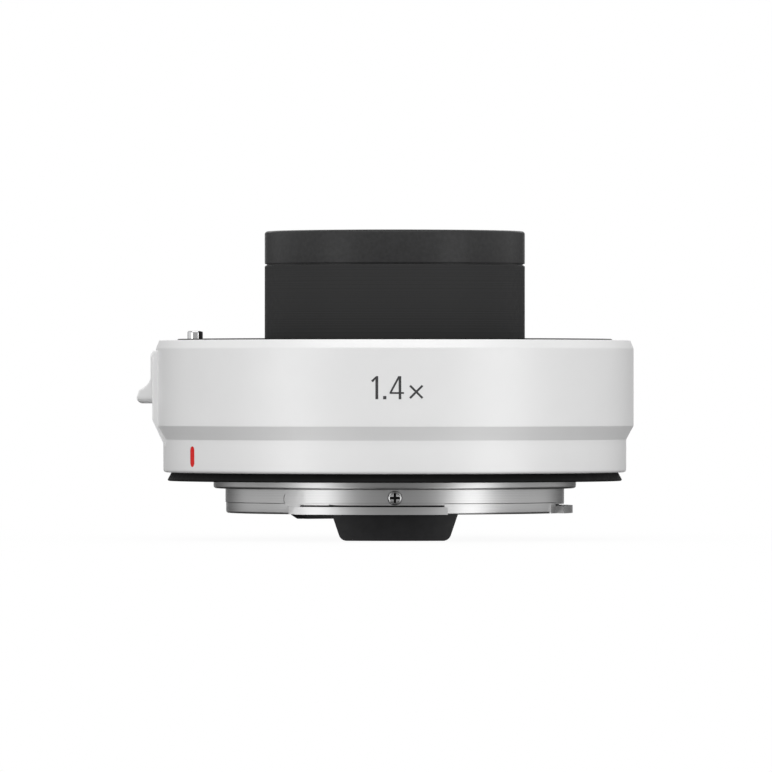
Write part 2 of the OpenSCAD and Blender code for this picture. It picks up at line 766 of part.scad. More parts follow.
// A coil of round wire between the frame's ledge and the lock pin's collar
module lock_pin_spring() {
    steps = 20;
    sides = 8;
    n = coil_turns * steps;
    coil_r = shank_r + coil_gap + wire_r;
    z0 = ledge_z + wire_r;
    rise = pin_collar_z - ledge_z - 2 * wire_r;
    points = [for (i = [0:n]) for (j = [0:sides - 1])
        let (a = 360 * i / steps, b = 360 * j / sides, q = coil_r + wire_r * cos(b))
        [q * cos(a) - lock_r, q * sin(a), z0 + rise * i / n + wire_r * sin(b)]];
    walls = [for (i = [0:n - 1]) for (j = [0:sides - 1])
        [i * sides + j, (i + 1) * sides + j, (i + 1) * sides + (j + 1) % sides, i * sides + (j + 1) % sides]];
    ends = [[for (j = [0:sides - 1]) j], [for (j = [sides - 1:-1:0]) n * sides + j]];
    color("lightgray") polyhedron(points, concat(walls, ends), convexity = 10);
}

// A bent plate: its eye presses the lock pin's collar, and the lever is screwed to its back
module release_carriage() {
    color("darkgoldenrod") difference() {
        union() {
            block([-carriage_x, -carriage_w / 2, eye_z], [-lock_r, carriage_w / 2, eye_z + carriage_t]);
            translate([-lock_r, 0, 0]) post(eye_r, eye_z, eye_z + carriage_t);
            block([-carriage_x, -carriage_w / 2, eye_z], [-carriage_in, carriage_w / 2, stem_top]);
        }
        translate([-lock_r, 0, 0]) post(shank_r + fit_gap, eye_z - e, eye_z + carriage_t + e);
        lever_screw_holes();
    }
}

// The two lines on which the lever's screws stand, seen from inside
module at_lever_screws() {
    for (s = [-1, 1])
        translate([-carriage_in, s * lever_screw_pitch / 2, stem_mid]) rotate([0, 90, 0]) children();
}

module lever_screw_holes() {
    at_lever_screws() post(lever_screw_r + thread_gap, -lever_screw_len - free_gap, e);
}

module release_lever() {
    back = -recess_x - fit_gap;
    face_z = lever_foot + hook_h;
    half_w = lever_w / 2 - lever_corner;
    color("white") difference() {
        union() {
            intersection() {
                // The side view: flat foot, rounded hook, hollow above it and flat face
                across(concat(
                    [[back, lever_foot]],
                    arc(hook_edge - hook_x, lever_foot + hook_edge, hook_edge, 270, 180),
                    [for (t = [0:0.125:1])
                        [-lever_x - hook_reach * pow(1 - t, 2.2), face_z + hollow_h * pow(t, 1.2)]],
                    arc(lever_edge - lever_x, lever_top - lever_edge, lever_edge, 180, 90),
                    [[back, lever_top]]), lever_w);
                // The rounded corners seen from outside
                translate([-hook_x - e, 0, 0]) along(concat(
                    arc(half_w, lever_foot + lever_corner, lever_corner, -90, 0),
                    arc(half_w, lever_top - lever_corner, lever_corner, 0, 90),
                    arc(-half_w, lever_top - lever_corner, lever_corner, 90, 180),
                    arc(-half_w, lever_foot + lever_corner, lever_corner, 180, 270)), hook_x - recess_x);
            }
            block([back - lever_edge, -stem_w / 2, stem_z], [-carriage_x, stem_w / 2, stem_top]);
        }
        lever_screw_holes();
    }
}

module lever_screws() {
    color("gray") at_lever_screws() pan_screw(lever_screw_r, lever_screw_len);
}

// The chassis: a roof under the front mount, a wall, a deck over the rear mount and an inner web
module main_frame() {
    color("dimgray") difference() {
        union() {
            ring(frame_in, shell_in - fit_gap, roof_z, seat_z);
            ring(frame_in, frame_in + frame_wall, deck_top - e, roof_z + e);
            ring(mount_bore_r + deck_gap, waist_in - fit_gap, deck_z, deck_top);
            ring(core_out + fit_gap, frame_in + fit_gap, web_z, web_top);
            intersection() {
                ring(frame_in, waist_in - fit_gap, deck_top - e, ledge_z);
                block([-barrel_r, -pocket_w / 2, 0], [0, pocket_w / 2, front_z]);
            }
        }
        // The pocket of the lever's carriage, and the lock pin's guide
        block([-barrel_r, -pocket_w / 2, ledge_z], [-cup_out - free_gap, pocket_w / 2, roof_z]);
        translate([-lock_r, 0, 0]) post(shank_r + fit_gap, roof_z - e, seat_z + e);
        around(mount_screw_phis, front_screw_at, 0) post(mount_screw_r + thread_gap, roof_z - e, seat_z + e);
        around(mount_screw_phis, rear_screw_at, 0) post(mount_screw_r + thread_gap, deck_z - e, deck_top + e);
        around(plate_screw_phis, plate_screw_at, 0) post(plate_screw_r + thread_gap, web_z - e, web_top + e);
        around(board_screw_phis, plate_screw_at, 0) post(small_screw_r + thread_gap, web_z - e, web_top + e);
        // The slot that the contact ribbon passes
        sector(core_out - fit_gap, flex_at + flex_gap, web_z - e, web_top + e,
            flex_phi - flex_slot_half, flex_phi + flex_slot_half);
    }
}

module front_baffle() {
    color("black") difference() {
        union() {
            ring(tube_r + fit_gap, cup_out, floor_z - floor_t, floor_z);
            ring(cup_in, cup_out, web_top, cup_top);
        }
        block_sector(block_in - fit_gap, block_out + fit_gap, floor_z - floor_t - e, floor_z + e, 0.2);
    }
}

module front_tube() {
    color("black") turned([[tube_in, plate_top], [tube_r, plate_top], [tube_r, cap_z - seam_w - seam_edge],
        [tube_r - seam_edge, cap_z - seam_w], [tube_in, cap_z - seam_w]]);
}

module front_cap_ring() {
    lip = pair_r - fit_gap;
    color("black") turned(concat(
        [[tube_in, cap_z], [tube_r - seam_edge, cap_z], [tube_r, cap_z + seam_edge]],
        arc(tube_r - cap_edge, tube_top - cap_edge, cap_edge, 0, 90),
        [[lip + hood_flare, tube_top], [lip, core_top + hood_lip], [lip, core_top], [tube_in, core_top]]));
}

module lens_barrel() {
    triplet_lip = triplet_seat + sag(triplet_r, triplet_front) - sag(stop_r, triplet_front) + glass_gap;
    pair_lip = pair_seat - sag(pair_r, pair_back) + sag(stop_r, pair_back) - glass_gap;
    color("black") difference() {
        turned([[cell_r + fit_gap, core_z], [cell_r + fit_gap, shoulder_z], [triplet_r + fit_gap, shoulder_z],
            [triplet_r + fit_gap, triplet_seat], [stop_r, triplet_lip], [stop_r, pair_lip],
            [pair_r + fit_gap, pair_seat], [pair_r + fit_gap, core_top], [core_r, core_top],
            [core_r, plate_top], [plate_r, plate_top], [plate_r, web_top], [core_out, web_top],
            [core_out, core_z]]);
        block_sector(core_out, plate_r + e, web_top - e, plate_top + e, 1);
        around(plate_screw_phis, plate_screw_at, 0) post(plate_screw_r + fit_gap, web_top - e, plate_top + e);
    }
}

module barrel_screws() {
    color("gray") around(plate_screw_phis, plate_screw_at, plate_top)
        pan_screw(plate_screw_r, plate_screw_len);
}

module front_retaining_ring() {
    color("black") glass_ring(pair_r, pair_front, pair_rim, core_top - fit_gap);
}

module front_element() {
    color("lightblue") lens(pair_r, pair_front, -pair_middle, pair_mid_z, pair_front_z);
}

module front_cemented_element() {
    color("lightcyan") lens(pair_r, pair_middle, pair_back, pair_seat - sag(pair_r, pair_back), pair_mid_z);
}

module triplet_front_element() {
    color("lightblue") lens(triplet_r, triplet_front, triplet_a, triplet_a_z,
        triplet_seat + sag(triplet_r, triplet_front));
}

module triplet_middle_element() {
    color("lightcyan") lens(triplet_r, -triplet_a, -triplet_b, triplet_b_z, triplet_a_z);
}

module triplet_rear_element() {
    color("lightblue") lens(triplet_r, triplet_b, triplet_back,
        triplet_rim - sag(triplet_r, triplet_back), triplet_b_z);
}

module middle_retaining_ring() {
    color("black") glass_ring(triplet_r, triplet_back, triplet_rim, triplet_rim - ring_h);
}

module rear_cell() {
    lip_r = third_r - cell_lip;
    color("black") turned([[rear_r + fit_gap, cell_z], [rear_r + fit_gap, third_back_rim],
        [third_r + fit_gap, third_back_rim], [third_r + fit_gap, third_rim], [lip_r, third_rim],
        [lip_r, cell_top], [cell_r, cell_top], [cell_r, cell_z]]);
}

module third_element() {
    color("lightcyan") lens(third_r, -third_front, -third_back, third_back_z, third_z);
}

module rear_spacer_ring() {
    inner = third_r - cell_lip;
    inner_rim = rear_z - sag(inner, rear_front) + glass_gap;
    color("black") turned([[inner, inner_rim], [rear_r, rear_rim + glass_gap], [rear_r, third_back_rim],
        [inner, third_back_rim]]);
}

module rear_element() {
    color("lightblue") lens(rear_r, rear_front, rear_back, rear_back_rim - sag(rear_r, rear_back), rear_z);
}

module rear_retaining_ring() {
    color("black") glass_ring(rear_r, rear_back, rear_back_rim, rear_back_rim - ring_h);
}

module front_contact_block() {
    color("black") difference() {
        block_sector(block_in, block_out, web_top, front_block_top, 0);
        at_contacts() post(contact_r + contact_gap, contact_foot - contact_travel - free_gap, front_z);
    }
}

module contact_pins() {
    color("gold") at_contacts() union() {
        post(contact_r, contact_foot, contact_tip - contact_r);
        translate([0, 0, contact_tip - contact_r]) sphere(r = contact_r);
    }
}

// A ribbon between the two contact blocks, with a tail to the board
module contact_flex() {
    color("saddlebrown") union() {
        at(flex_phi) block([flex_at, -flex_w / 2, -block_drop], [flex_at + flex_t, flex_w / 2, web_top]);
        sector(flex_at, flex_at + tail_w, web_z - flex_t, web_z, board_to, flex_phi - 2);
    }
}

module circuit_board() {
    color("darkgreen") difference() {
        sector(core_out + board_gap, frame_in - pass_gap, board_z, web_z, board_from, board_to);
        around(board_screw_phis, plate_screw_at, 0) post(small_screw_r + fit_gap, board_z - e, web_z + e);
    }
}

module board_chips() {
    color("black") for (c = chips) around([c[0]], plate_screw_at, board_z)
        block([-chip_w * c[1] / 2, -chip_w * c[2] / 2, -chip_h], [chip_w * c[1] / 2, chip_w * c[2] / 2, 0]);
}

module board_screws() {
    color("gray") around(board_screw_phis, plate_screw_at, board_z) rotate([180, 0, 0])
        pan_screw(small_screw_r, board_screw_len);
}

module flange_shim() {
    notch = shank_r + pass_gap;
    color("goldenrod") difference() {
        ring(register_r, flange_r - free_gap, flange_t, deck_z);
        around(mount_screw_phis, rear_screw_at, 0) post(mount_screw_r + fit_gap, flange_t - e, deck_z + e);
        block([-flange_r, -notch, flange_t - e], [notch - lock_r, notch, deck_z + e]);
    }
}

module rear_mount_ring() {
    nose = 0.35;
    lug_root = spigot_r - spigot_wall / 3;
    step_z = lug_t + mate_gap + mount_edge - spigot_len;
    color("silver") difference() {
        union() {
            turned(concat(
                [[mount_bore_r, flange_t], [mount_bore_r, mount_edge - spigot_len],
                 [mount_bore_r + mount_edge, -spigot_len]],
                arc(spigot_r - mount_edge - nose, nose - spigot_len, nose, -90, 0),
                [[spigot_r - mount_edge, step_z - mount_edge], [spigot_r, step_z], [spigot_r, -register_h]],
                arc(register_r - register_edge, register_edge - register_h, register_edge, -90, 0),
                [[register_r, 0], [flange_r - mount_edge, 0], [flange_r, mount_edge], [flange_r, flange_t]]));
            for (l = lugs) {
                sector(lug_root, lug_r, -spigot_len, lug_t - spigot_len, l[0], l[1]);
                // The wall above a lug goes on down to it, with no step
                sector(lug_root, spigot_r - fit_gap / 2, -spigot_len, step_z, l[0], l[1]);
                // The pointed run-in at the lug's leading end
                at(l[0]) translate([0, 0, -spigot_len]) linear_extrude(lug_t) polygon([
                    [lug_root, lug_lead / 4], [lug_r - e, lug_lead / 6], [lug_r - e, 0],
                    [spigot_r - pass_gap, -lug_lead], [lug_root, -lug_lead]]);
            }
        }
        around(mount_screw_phis, rear_screw_at, head_sink) rotate([180, 0, 0])
            flush_hole(mount_screw_r, mount_head_r, rear_screw_len);
        translate([-lock_r, 0, 0]) post(pin_r + free_gap, -e, flange_t + e);
        at_shield_screws() flush_hole(small_screw_r, shield_head_r, shield_screw_len);
        // The shallow pocket milled in the spigot's wall
        around([pocket_phi], 0, -pocket_drop) rotate([90, 0, 0])
            stadium(spigot_r - pocket_depth, lug_r, 2 * pocket_r, pocket_l + 2 * pocket_r);
    }
}

// The radial lines of the shield's screws, with the heads just inside the spigot's wall
module at_shield_screws() {
    around(shield_screw_phis, spigot_r - mount_edge - head_sink, -shield_screw_drop)
        rotate([0, 90, 0]) children();
}

module rear_mount_screws() {
    color("gray") around(mount_screw_phis, rear_screw_at, head_sink) rotate([180, 0, 0])
        flush_screw(mount_screw_r, mount_head_r, rear_screw_len);
}

module rear_gasket() {
    lip_r = waist_r - lip_step;
    lip_top = foot_gap - fit_gap;
    color("black") turned(concat(
        [[flange_r + fit_gap, deck_z], [flange_r + fit_gap, mount_edge], [flange_r + lip_step, 0],
         [lip_r - 2.5 * lip_t, -lip_drop]],
        arc(lip_r - lip_t, lip_t - lip_drop, lip_t, -90, 0),
        [[lip_r - 2.5 * lip_t, lip_top], [waist_in - fit_gap, lip_top], [waist_in - fit_gap, deck_z]]));
}

module rear_light_shield() {
    color("black") difference() {
        union() {
            turned([[shield_open, shield_top], [shield_open + shield_flare, shield_z], [block_out, shield_z],
                [block_out, -block_drop], [shield_in, -block_drop], [shield_in, shield_top]]);
            rear_tab();
        }
        block_sector(block_in - fit_gap, spigot_r, -spigot_len, e, 0.2);
        at_shield_screws() flush_hole(small_screw_r, shield_head_r, shield_screw_len + free_gap);
    }
}

// The tab that stands behind the mount, a curved plate with a tapered outline
module rear_tab() {
    tip = tip_tab_w / 2 - rear_tab_edge * 0.8;
    low = rear_tab_edge - rear_tab_drop;
    intersection() {
        ring(block_out - rear_tab_t, block_out, -rear_tab_drop - e, shield_z + e);
        translate([0, -spigot_r / 2, 0]) across(concat(
            [[-rear_tab_w / 2, shield_z + e]],
            arc(-tip, low, rear_tab_edge, 180 + rear_tab_slope, 270),
            arc(tip, low, rear_tab_edge, 270, 360 - rear_tab_slope),
            [[rear_tab_w / 2, shield_z + e]]), spigot_r);
    }
}

module rear_shield_screws() {
    color("gray") at_shield_screws() flush_screw(small_screw_r, shield_head_r, shield_screw_len);
}

module rear_contact_block() {
    color("black") difference() {
        block_sector(block_in, block_out, -pad_plane, -block_drop, 0);
        // The bevelled ends
        for (s = [-1, 1]) at(contact_phi + s * block_half) translate([0, 0, -pad_plane])
            along([[-end_bevel * s, 0], [end_bevel * s, 2 * end_bevel_h],
                [end_bevel * s, -far], [-end_bevel * s, -far]], far);
        at_contacts() block([-contact_pad_l / 2 - thread_gap, -contact_pad_w / 2 - thread_gap, -far],
            [contact_pad_l / 2 + thread_gap, contact_pad_w / 2 + thread_gap, contact_pad_t - pad_plane]);
        at_ears() flush_hole(ear_screw_r, ear_head_r, ear_screw_len);
    }
}

module rear_contact_pads() {
    color("gold") at_contacts() block([-contact_pad_l / 2, -contact_pad_w / 2, -pad_plane],
        [contact_pad_l / 2, contact_pad_w / 2, contact_pad_t - pad_plane]);
}

module rear_contact_screws() {
    color("gray") at_ears() flush_screw(ear_screw_r, ear_head_r, ear_screw_len);
}

outer_barrel();
index_marks();
front_trim_ring();
front_mount_ring();
front_mount_screws();
mount_spring();
lock_pin();
lock_pin_spring();
release_carriage();
release_lever();
lever_screws();
main_frame();
front_baffle();
front_tube();
front_cap_ring();
lens_barrel();
barrel_screws();
front_retaining_ring();
front_element();
front_cemented_element();
triplet_front_element();
triplet_middle_element();
triplet_rear_element();
middle_retaining_ring();
rear_cell();
third_element();
rear_spacer_ring();
rear_element();
rear_retaining_ring();
front_contact_block();
contact_pins();
contact_flex();
circuit_board();
board_chips();
board_screws();
flange_shim();
rear_mount_ring();
rear_mount_screws();
rear_gasket();
rear_light_shield();
rear_shield_screws();
rear_contact_block();
rear_contact_pads();
rear_contact_screws();
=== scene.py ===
"""Looks of a camera teleconverter: modelled details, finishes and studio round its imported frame."""

import json
import math

import bpy
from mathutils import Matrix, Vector

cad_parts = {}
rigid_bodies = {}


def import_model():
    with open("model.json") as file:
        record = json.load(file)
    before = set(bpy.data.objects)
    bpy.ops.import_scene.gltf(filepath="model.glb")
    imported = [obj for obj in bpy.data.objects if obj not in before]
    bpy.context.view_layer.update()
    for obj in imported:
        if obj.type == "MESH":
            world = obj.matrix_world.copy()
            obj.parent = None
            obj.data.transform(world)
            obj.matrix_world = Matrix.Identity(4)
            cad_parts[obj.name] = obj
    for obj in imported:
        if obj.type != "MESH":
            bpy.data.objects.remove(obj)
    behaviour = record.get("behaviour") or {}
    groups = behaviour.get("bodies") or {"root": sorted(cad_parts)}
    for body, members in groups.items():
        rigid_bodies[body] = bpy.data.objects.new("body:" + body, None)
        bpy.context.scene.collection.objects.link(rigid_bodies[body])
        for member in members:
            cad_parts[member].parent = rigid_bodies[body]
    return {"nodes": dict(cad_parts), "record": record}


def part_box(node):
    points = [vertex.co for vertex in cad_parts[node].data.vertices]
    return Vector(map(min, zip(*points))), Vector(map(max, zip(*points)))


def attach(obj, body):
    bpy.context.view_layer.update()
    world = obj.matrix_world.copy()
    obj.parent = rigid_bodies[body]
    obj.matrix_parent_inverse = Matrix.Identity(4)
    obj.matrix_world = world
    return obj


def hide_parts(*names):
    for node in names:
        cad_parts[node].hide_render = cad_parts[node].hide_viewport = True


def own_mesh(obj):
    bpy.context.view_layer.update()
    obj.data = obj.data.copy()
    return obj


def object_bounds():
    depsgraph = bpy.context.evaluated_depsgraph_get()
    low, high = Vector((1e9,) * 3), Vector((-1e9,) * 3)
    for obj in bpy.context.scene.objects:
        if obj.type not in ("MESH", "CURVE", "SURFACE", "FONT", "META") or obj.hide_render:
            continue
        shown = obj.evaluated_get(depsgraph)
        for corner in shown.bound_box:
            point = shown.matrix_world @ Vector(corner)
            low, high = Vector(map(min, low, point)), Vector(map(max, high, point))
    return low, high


bl_info = {
    "name": "Teleconverter looks",
    "version": (1, 0, 0),
    "blender": (4, 5, 0),
    "location": "View3D > Sidebar > Converter",
    "description": "Modelled details, finishes and studio of a camera teleconverter",
    "category": "Object",
}

for leftover in list(bpy.data.objects):
    bpy.data.objects.remove(leftover)
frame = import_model()
CAD_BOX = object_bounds()
NODES = frame["nodes"]
SLOT_OF = {row["node"]: row["material_slot"] for row in frame["record"]["subparts"]}

# Lengths in metres: a millimetre, points that count as one, and the slivers that cuts leave
MM = 0.001
WELD = 0.0005 * MM
SLIVER = 0.001 * MM
# Edges that turn by more than this stay sharp
SHARP = math.radians(32.0)


# Properties

def length(name, description, value):
    """A length property, given in millimetres."""
    return bpy.props.FloatProperty(name=name, description=description, default=value * MM, unit="LENGTH",
                                   precision=5)


def count(name, description, value):
    """A whole number property."""
    return bpy.props.IntProperty(name=name, description=description, default=value)


def level(name, description, value, unit="NONE"):
    """A level property, such as a lamp's power or a share."""
    return bpy.props.FloatProperty(name=name, description=description, default=value, unit=unit)


def colour(name, description, value):
    """A colour property."""
    return bpy.props.FloatVectorProperty(name=name, description=description, default=value, size=3,
                                         subtype="COLOR", min=0.0, max=1.0)


class ConverterSizes(bpy.types.PropertyGroup):
    """Sizes of the modelled details"""
    number_lift: length("Number lift", "Height of the printed number above the paint", 0.02)
    number_depth: length("Number depth", "Thickness of the printed number", 0.015)
    cement: length("Cement", "How far cemented glass faces reach into each other", 0.01)
    hood_edge: length("Hood edge", "Rounding of the hood's outer edge", 0.45)
    hood_step: length("Hood step", "Depth of the fine steps inside the hood", 0.05)
    pad_voxel: length("Pad grid", "Grid that the lever's pad is evened out on", 0.09)
    pad_smooth: count("Pad softness", "Passes that soften the pad's edges", 5)
    screw_edge: length("Screw edge", "Rounding of the screw heads", 0.1)
    spring_wire: length("Spring wire", "Radius of the lock pin spring's wire", 0.2)
    spring_turns: count("Spring turns", "Turns of the lock pin spring", 7)
    lever_voxel: length("Lever grid", "Grid that the lever's shape is evened out on", 0.08)
    lever_smooth: count("Lever softness", "Passes that soften the lever's edges", 8)


class ConverterColours(bpy.types.PropertyGroup):
    """Colours of the finishes"""
    paint: colour("Paint", "White paint of the barrel and the lever", (0.85, 0.85, 0.85))
    ink: colour("Ink", "Printed number", (0.042, 0.042, 0.044))
    index: colour("Index", "Red fill of the index marks", (0.72, 0.004, 0.003))
    tube: colour("Tube", "Black of the front tube", (0.039, 0.039, 0.0395))
    trim: colour("Trim", "Black of the shields and contact blocks", (0.016, 0.016, 0.017))
    anodised: colour("Anodised", "Black of the inner metal parts", (0.014, 0.014, 0.015))
    rubber: colour("Rubber", "Black of the rear gasket", (0.005, 0.005, 0.005))
    steel: colour("Steel", "Stainless steel of the mounts", (0.585, 0.585, 0.585))
    # Painted shade: a near-black colour for the relief above the lugs, standing in for its shadow
    painted_relief_shade: colour("Dirt", "Oil and dirt in the relief above the lugs", (0.03, 0.03, 0.03))
    chrome: colour("Chrome", "Plating of the lock pin", (0.74, 0.74, 0.75))
    spring: colour("Spring", "Spring steel", (0.46, 0.46, 0.47))
    screw: colour("Screw", "Plain screws", (0.66, 0.66, 0.66))
    brass: colour("Brass", "Plain brass", (0.72, 0.52, 0.24))
    gold: colour("Gold", "Gold plating of the contacts", (0.95, 0.66, 0.26))
    coat_front: colour("Front coating", "Light that bounces off the front glass", (0.16, 0.34, 0.24))
    coat_rear: colour("Rear coating", "Light that bounces off the rear glass", (0.34, 0.18, 0.32))
    board: colour("Board", "Solder mask of the circuit board", (0.012, 0.10, 0.04))
    ribbon: colour("Ribbon", "Film of the contact ribbon", (0.42, 0.17, 0.03))
    floor: colour("Floor", "Studio floor", (0.95, 0.95, 0.95))


class ConverterLight(bpy.types.PropertyGroup):
    """Levels of the studio light"""
    key: level("Key", "Softbox above the camera", 6.95, "POWER")
    left: level("Left", "Softbox on the left", 1.2, "POWER")
    right: level("Right", "Softbox on the right", 1.32, "POWER")
    back: level("Back", "Softbox above and behind", 3.9, "POWER")
    front: level("Front", "Level of the room in front", 0.47)
    side: level("Side", "Level of the room at its sides", 0.85)
    rear: level("Rear", "Level of the room behind", 0.12)
    below: level("Below", "Share of the room's level below the object", 0.03)


def sizes():
    return bpy.context.scene.converter_sizes


def colours():
    return bpy.context.scene.converter_colours


def light():
    return bpy.context.scene.converter_light


# Finishes

class Nodes:
    """The node tree of a material or a world."""

    def __init__(self, owner):
        owner.use_nodes = True
        self.tree = owner.node_tree

    def put(self, socket, value):
        """Links a socket to another one, or sets its value."""
        if isinstance(value, bpy.types.NodeSocket):
            self.tree.links.new(value, socket)
        else:
            socket.default_value = value

    def fill(self, node, inputs):
        """Sets or links inputs of a node, whose names have _ for a space."""
        for key, value in inputs.items():
            self.put(node.inputs[key.replace("_", " ")], value)
        return node

    def node(self, kind, settings=None, **inputs):
        """Adds a shader node of a kind, sets its properties and sets or links its inputs."""
        made = self.tree.nodes.new("ShaderNode" + kind)
        for key, value in (settings or {}).items():
            setattr(made, key, value)
        return self.fill(made, inputs)

    def math(self, operation, a, b=0.0, c=0.0):
        """The result of a sum on sockets or numbers."""
        made = self.node("Math", {"operation": operation})
        for socket, value in zip(made.inputs, (a, b, c)):
            self.put(socket, value)
        return made.outputs[0]


class Finish(Nodes):
    """A node material that gains grain, turned lines and shades, whose sizes are given in millimetres."""

    def __init__(self, name, base, roughness, metallic=0.0):
        self.material = bpy.data.materials.new(name)
        super().__init__(self.material)
        self.base = tuple(base)
        self.shader = self.tree.nodes["Principled BSDF"]
        self.set(Base_Color=(*base, 1.0), Roughness=roughness, Metallic=metallic)
        self.place = self.node("TexCoord").outputs["Object"]
        self.normal = None

    def set(self, **inputs):
        """Sets or links inputs of the shader."""
        self.fill(self.shader, inputs)
        return self

    def grain(self, size, detail=2.0):
        """Even grain with spots of about this size."""
        return self.node("TexNoise", Vector=self.place, Scale=0.5 / (size * MM),
                         Detail=detail).outputs["Fac"]

    def across(self):
        """Distance from the optical axis and height along it, in metres."""
        x, y, z = self.node("SeparateXYZ", Vector=self.place).outputs
        square = self.math("ADD", self.math("MULTIPLY", x, x), self.math("MULTIPLY", y, y))
        return self.math("SQRT", square), z

    def along(self):
        """A length in metres that grows along flat and upright turned faces."""
        r, z = self.across()
        return self.math("MULTIPLY_ADD", z, 1.37, r)

    def turned(self, pitch):
        """Lathe lines round the optical axis, about this far apart."""
        return self.node("TexNoise", {"noise_dimensions": "1D"}, W=self.along(),
                         Scale=0.5 / (pitch * MM), Detail=3.0).outputs["Fac"]

    def grooves(self, pitch):
        """Even round grooves round the optical axis."""
        return self.math("SINE", self.math("MULTIPLY", self.along(), 2 * math.pi / (pitch * MM)))

    def between(self, factor, low, high):
        """Spreads the middle of a factor between two values."""
        return self.node("MapRange", Value=factor, From_Min=0.3, From_Max=0.7,
                         To_Min=low, To_Max=high).outputs[0]

    def mixed(self, factor, first, second):
        """A colour between two others."""
        made = self.node("Mix", {"data_type": "RGBA"})
        for place, value in zip((0, 6, 7), (factor, first, second)):
            self.put(made.inputs[place], value)
        return made.outputs[2]

    def rough(self, factor, low, high):
        """A roughness that goes from one value to another."""
        return self.set(Roughness=self.between(factor, low, high))

    def tint(self, factor, first, second):
        """A base colour that goes from one tint to another."""
        share = self.between(factor, 0.0, 1.0)
        return self.set(Base_Color=self.mixed(share, (*first, 1.0), (*second, 1.0)))

    def shades(self, factor, low, high):
        """A base colour that goes from one shade of itself to another."""
        return self.tint(factor, shade(self.base, low), shade(self.base, high))

    def raised(self, height, depth, strength):
        """A bump of this depth, on top of earlier ones."""
        made = self.node("Bump", Height=height, Distance=depth * MM, Strength=strength)
        if self.normal is not None:
            self.put(made.inputs["Normal"], self.normal)
        self.normal = made.outputs["Normal"]
        return self.set(Normal=self.normal)


def shade(base, factor):
    """A colour made lighter or darker."""
    return tuple(min(1.0, c * factor) for c in base)


def grained(name, base, tint, gloss, bump):
    """A finish of grain; a row has the size of its grain, then shades, roughnesses, or depth and strength."""
    made = Finish(name, base, gloss[1])
    made.shades(made.grain(tint[0]), *tint[1:])
    made.rough(made.grain(gloss[0]), *gloss[1:])
    return made.raised(made.grain(bump[0]), *bump[1:])


def paint_finish():
    made = Finish("satin_white", colours().paint, 0.45, 0.14).set(Specular_IOR_Level=0.5)
    made.shades(made.grain(3.0), 0.985, 1.0)
    made.rough(made.grain(0.5), 0.42, 0.5)
    return made.raised(made.grain(0.16), 0.006, 0.5).raised(made.grain(0.7), 0.006, 0.4)


def ink_finish():
    return grained("number_ink", colours().ink, (0.12, 0.8, 1.25), (0.2, 0.42, 0.55), (0.1, 0.003, 0.5))


def index_finish():
    made = grained("red_fill", colours().index, (0.5, 0.9, 1.05), (0.3, 0.3, 0.45), (0.25, 0.01, 0.4))
    return made.set(Specular_IOR_Level=0.15)


def tube_finish():
    made = Finish("turned_black", colours().tube, 0.48).set(Specular_IOR_Level=0.04)
    lines = made.turned(0.09)
    return made.shades(lines, 0.85, 1.12).rough(made.grain(0.4), 0.46, 0.58).raised(lines, 0.008, 0.5)


def cap_finish():
    made = grained("cap_black", colours().tube, (0.3, 0.9, 1.1), (0.25, 0.28, 0.4), (0.12, 0.01, 0.5))
    return made.raised(made.turned(0.2), 0.004, 0.4).set(Specular_IOR_Level=0.12)


def trim_finish():
    made = grained("moulded_black", colours().trim, (0.6, 0.9, 1.15), (0.3, 0.36, 0.5), (0.14, 0.012, 0.6))
    return made.set(Specular_IOR_Level=0.2)


def rim_finish():
    made = Finish("rim_black", colours().rubber, 0.6).set(Specular_IOR_Level=0.1)
    made.shades(made.grain(0.6), 0.8, 1.3)
    return made.rough(made.grain(0.3), 0.5, 0.66).raised(made.turned(0.1), 0.006, 0.5)


def anodised_finish():
    made = Finish("black_anodised", colours().anodised, 0.45)
    made.shades(made.turned(0.15), 0.8, 1.2)
    return made.rough(made.grain(0.4), 0.4, 0.55).raised(made.grooves(0.35), 0.03, 0.6)


def rubber_finish():
    made = grained("gasket_rubber", colours().rubber, (0.8, 0.9, 1.4), (0.4, 0.5, 0.66), (0.12, 0.012, 0.5))
    return made.set(Specular_IOR_Level=0.13)


def steel_finish(name="turned_stainless"):
    made = Finish(name, colours().steel, 0.36, 1.0)
    lines = made.turned(0.06)
    return made.shades(lines, 0.86, 1.06).rough(lines, 0.33, 0.42).raised(lines, 0.0025, 0.5)


def shaded_relief_steel_finish(deep, low, high):
    """Turned steel with a painted shade in a crevice, nearer the axis than a radius and between two heights.
    """
    made = steel_finish("rear_stainless")
    r, z = made.across()
    # Mask of the crevice where the painted shade is mixed over the steel
    inside = made.math("LESS_THAN", r, deep * MM)
    for test, height in (("GREATER_THAN", low), ("LESS_THAN", high)):
        inside = made.math("MULTIPLY", inside, made.math(test, z, height * MM))
    unshaded_steel = made.shader.inputs["Base Color"].links[0].from_socket
    return made.set(Base_Color=made.mixed(inside, unshaded_steel, (*colours().painted_relief_shade, 1.0)))


def metal_finish(name, base, roughness, grain):
    """A plain bright metal with fine scratches of its own."""
    made = Finish(name, base, roughness, 1.0)
    made.shades(made.grain(1.1), 0.93, 1.0)
    made.rough(made.grain(grain), roughness * 0.8, roughness * 1.25)
    return made.raised(made.grain(grain), 0.003, 0.4)


def gold_finish():
    made = metal_finish("gold_contacts", colours().gold, 0.2, 0.1)
    return made.shades(made.grain(0.35, 4.0), 0.86, 1.0)


def shield_screw_finish(face):
    """Heads painted lighter than the plain screws, whose face is this far from the axis in metres, with
    painted shade down in the cross.
    """
    # Painted highlight: the same screw steel, made lighter
    made = metal_finish("shield_screws", shade(colours().screw, 1.25), 0.22, 0.1)
    # Painted shade: the cross recess goes dark below the head's face
    depth = made.node("MapRange", Value=made.across()[0], From_Min=face - 0.28 * MM,
                      From_Max=face - 0.06 * MM).outputs[0]
    return made.tint(depth, (0.02, 0.02, 0.02), made.base)


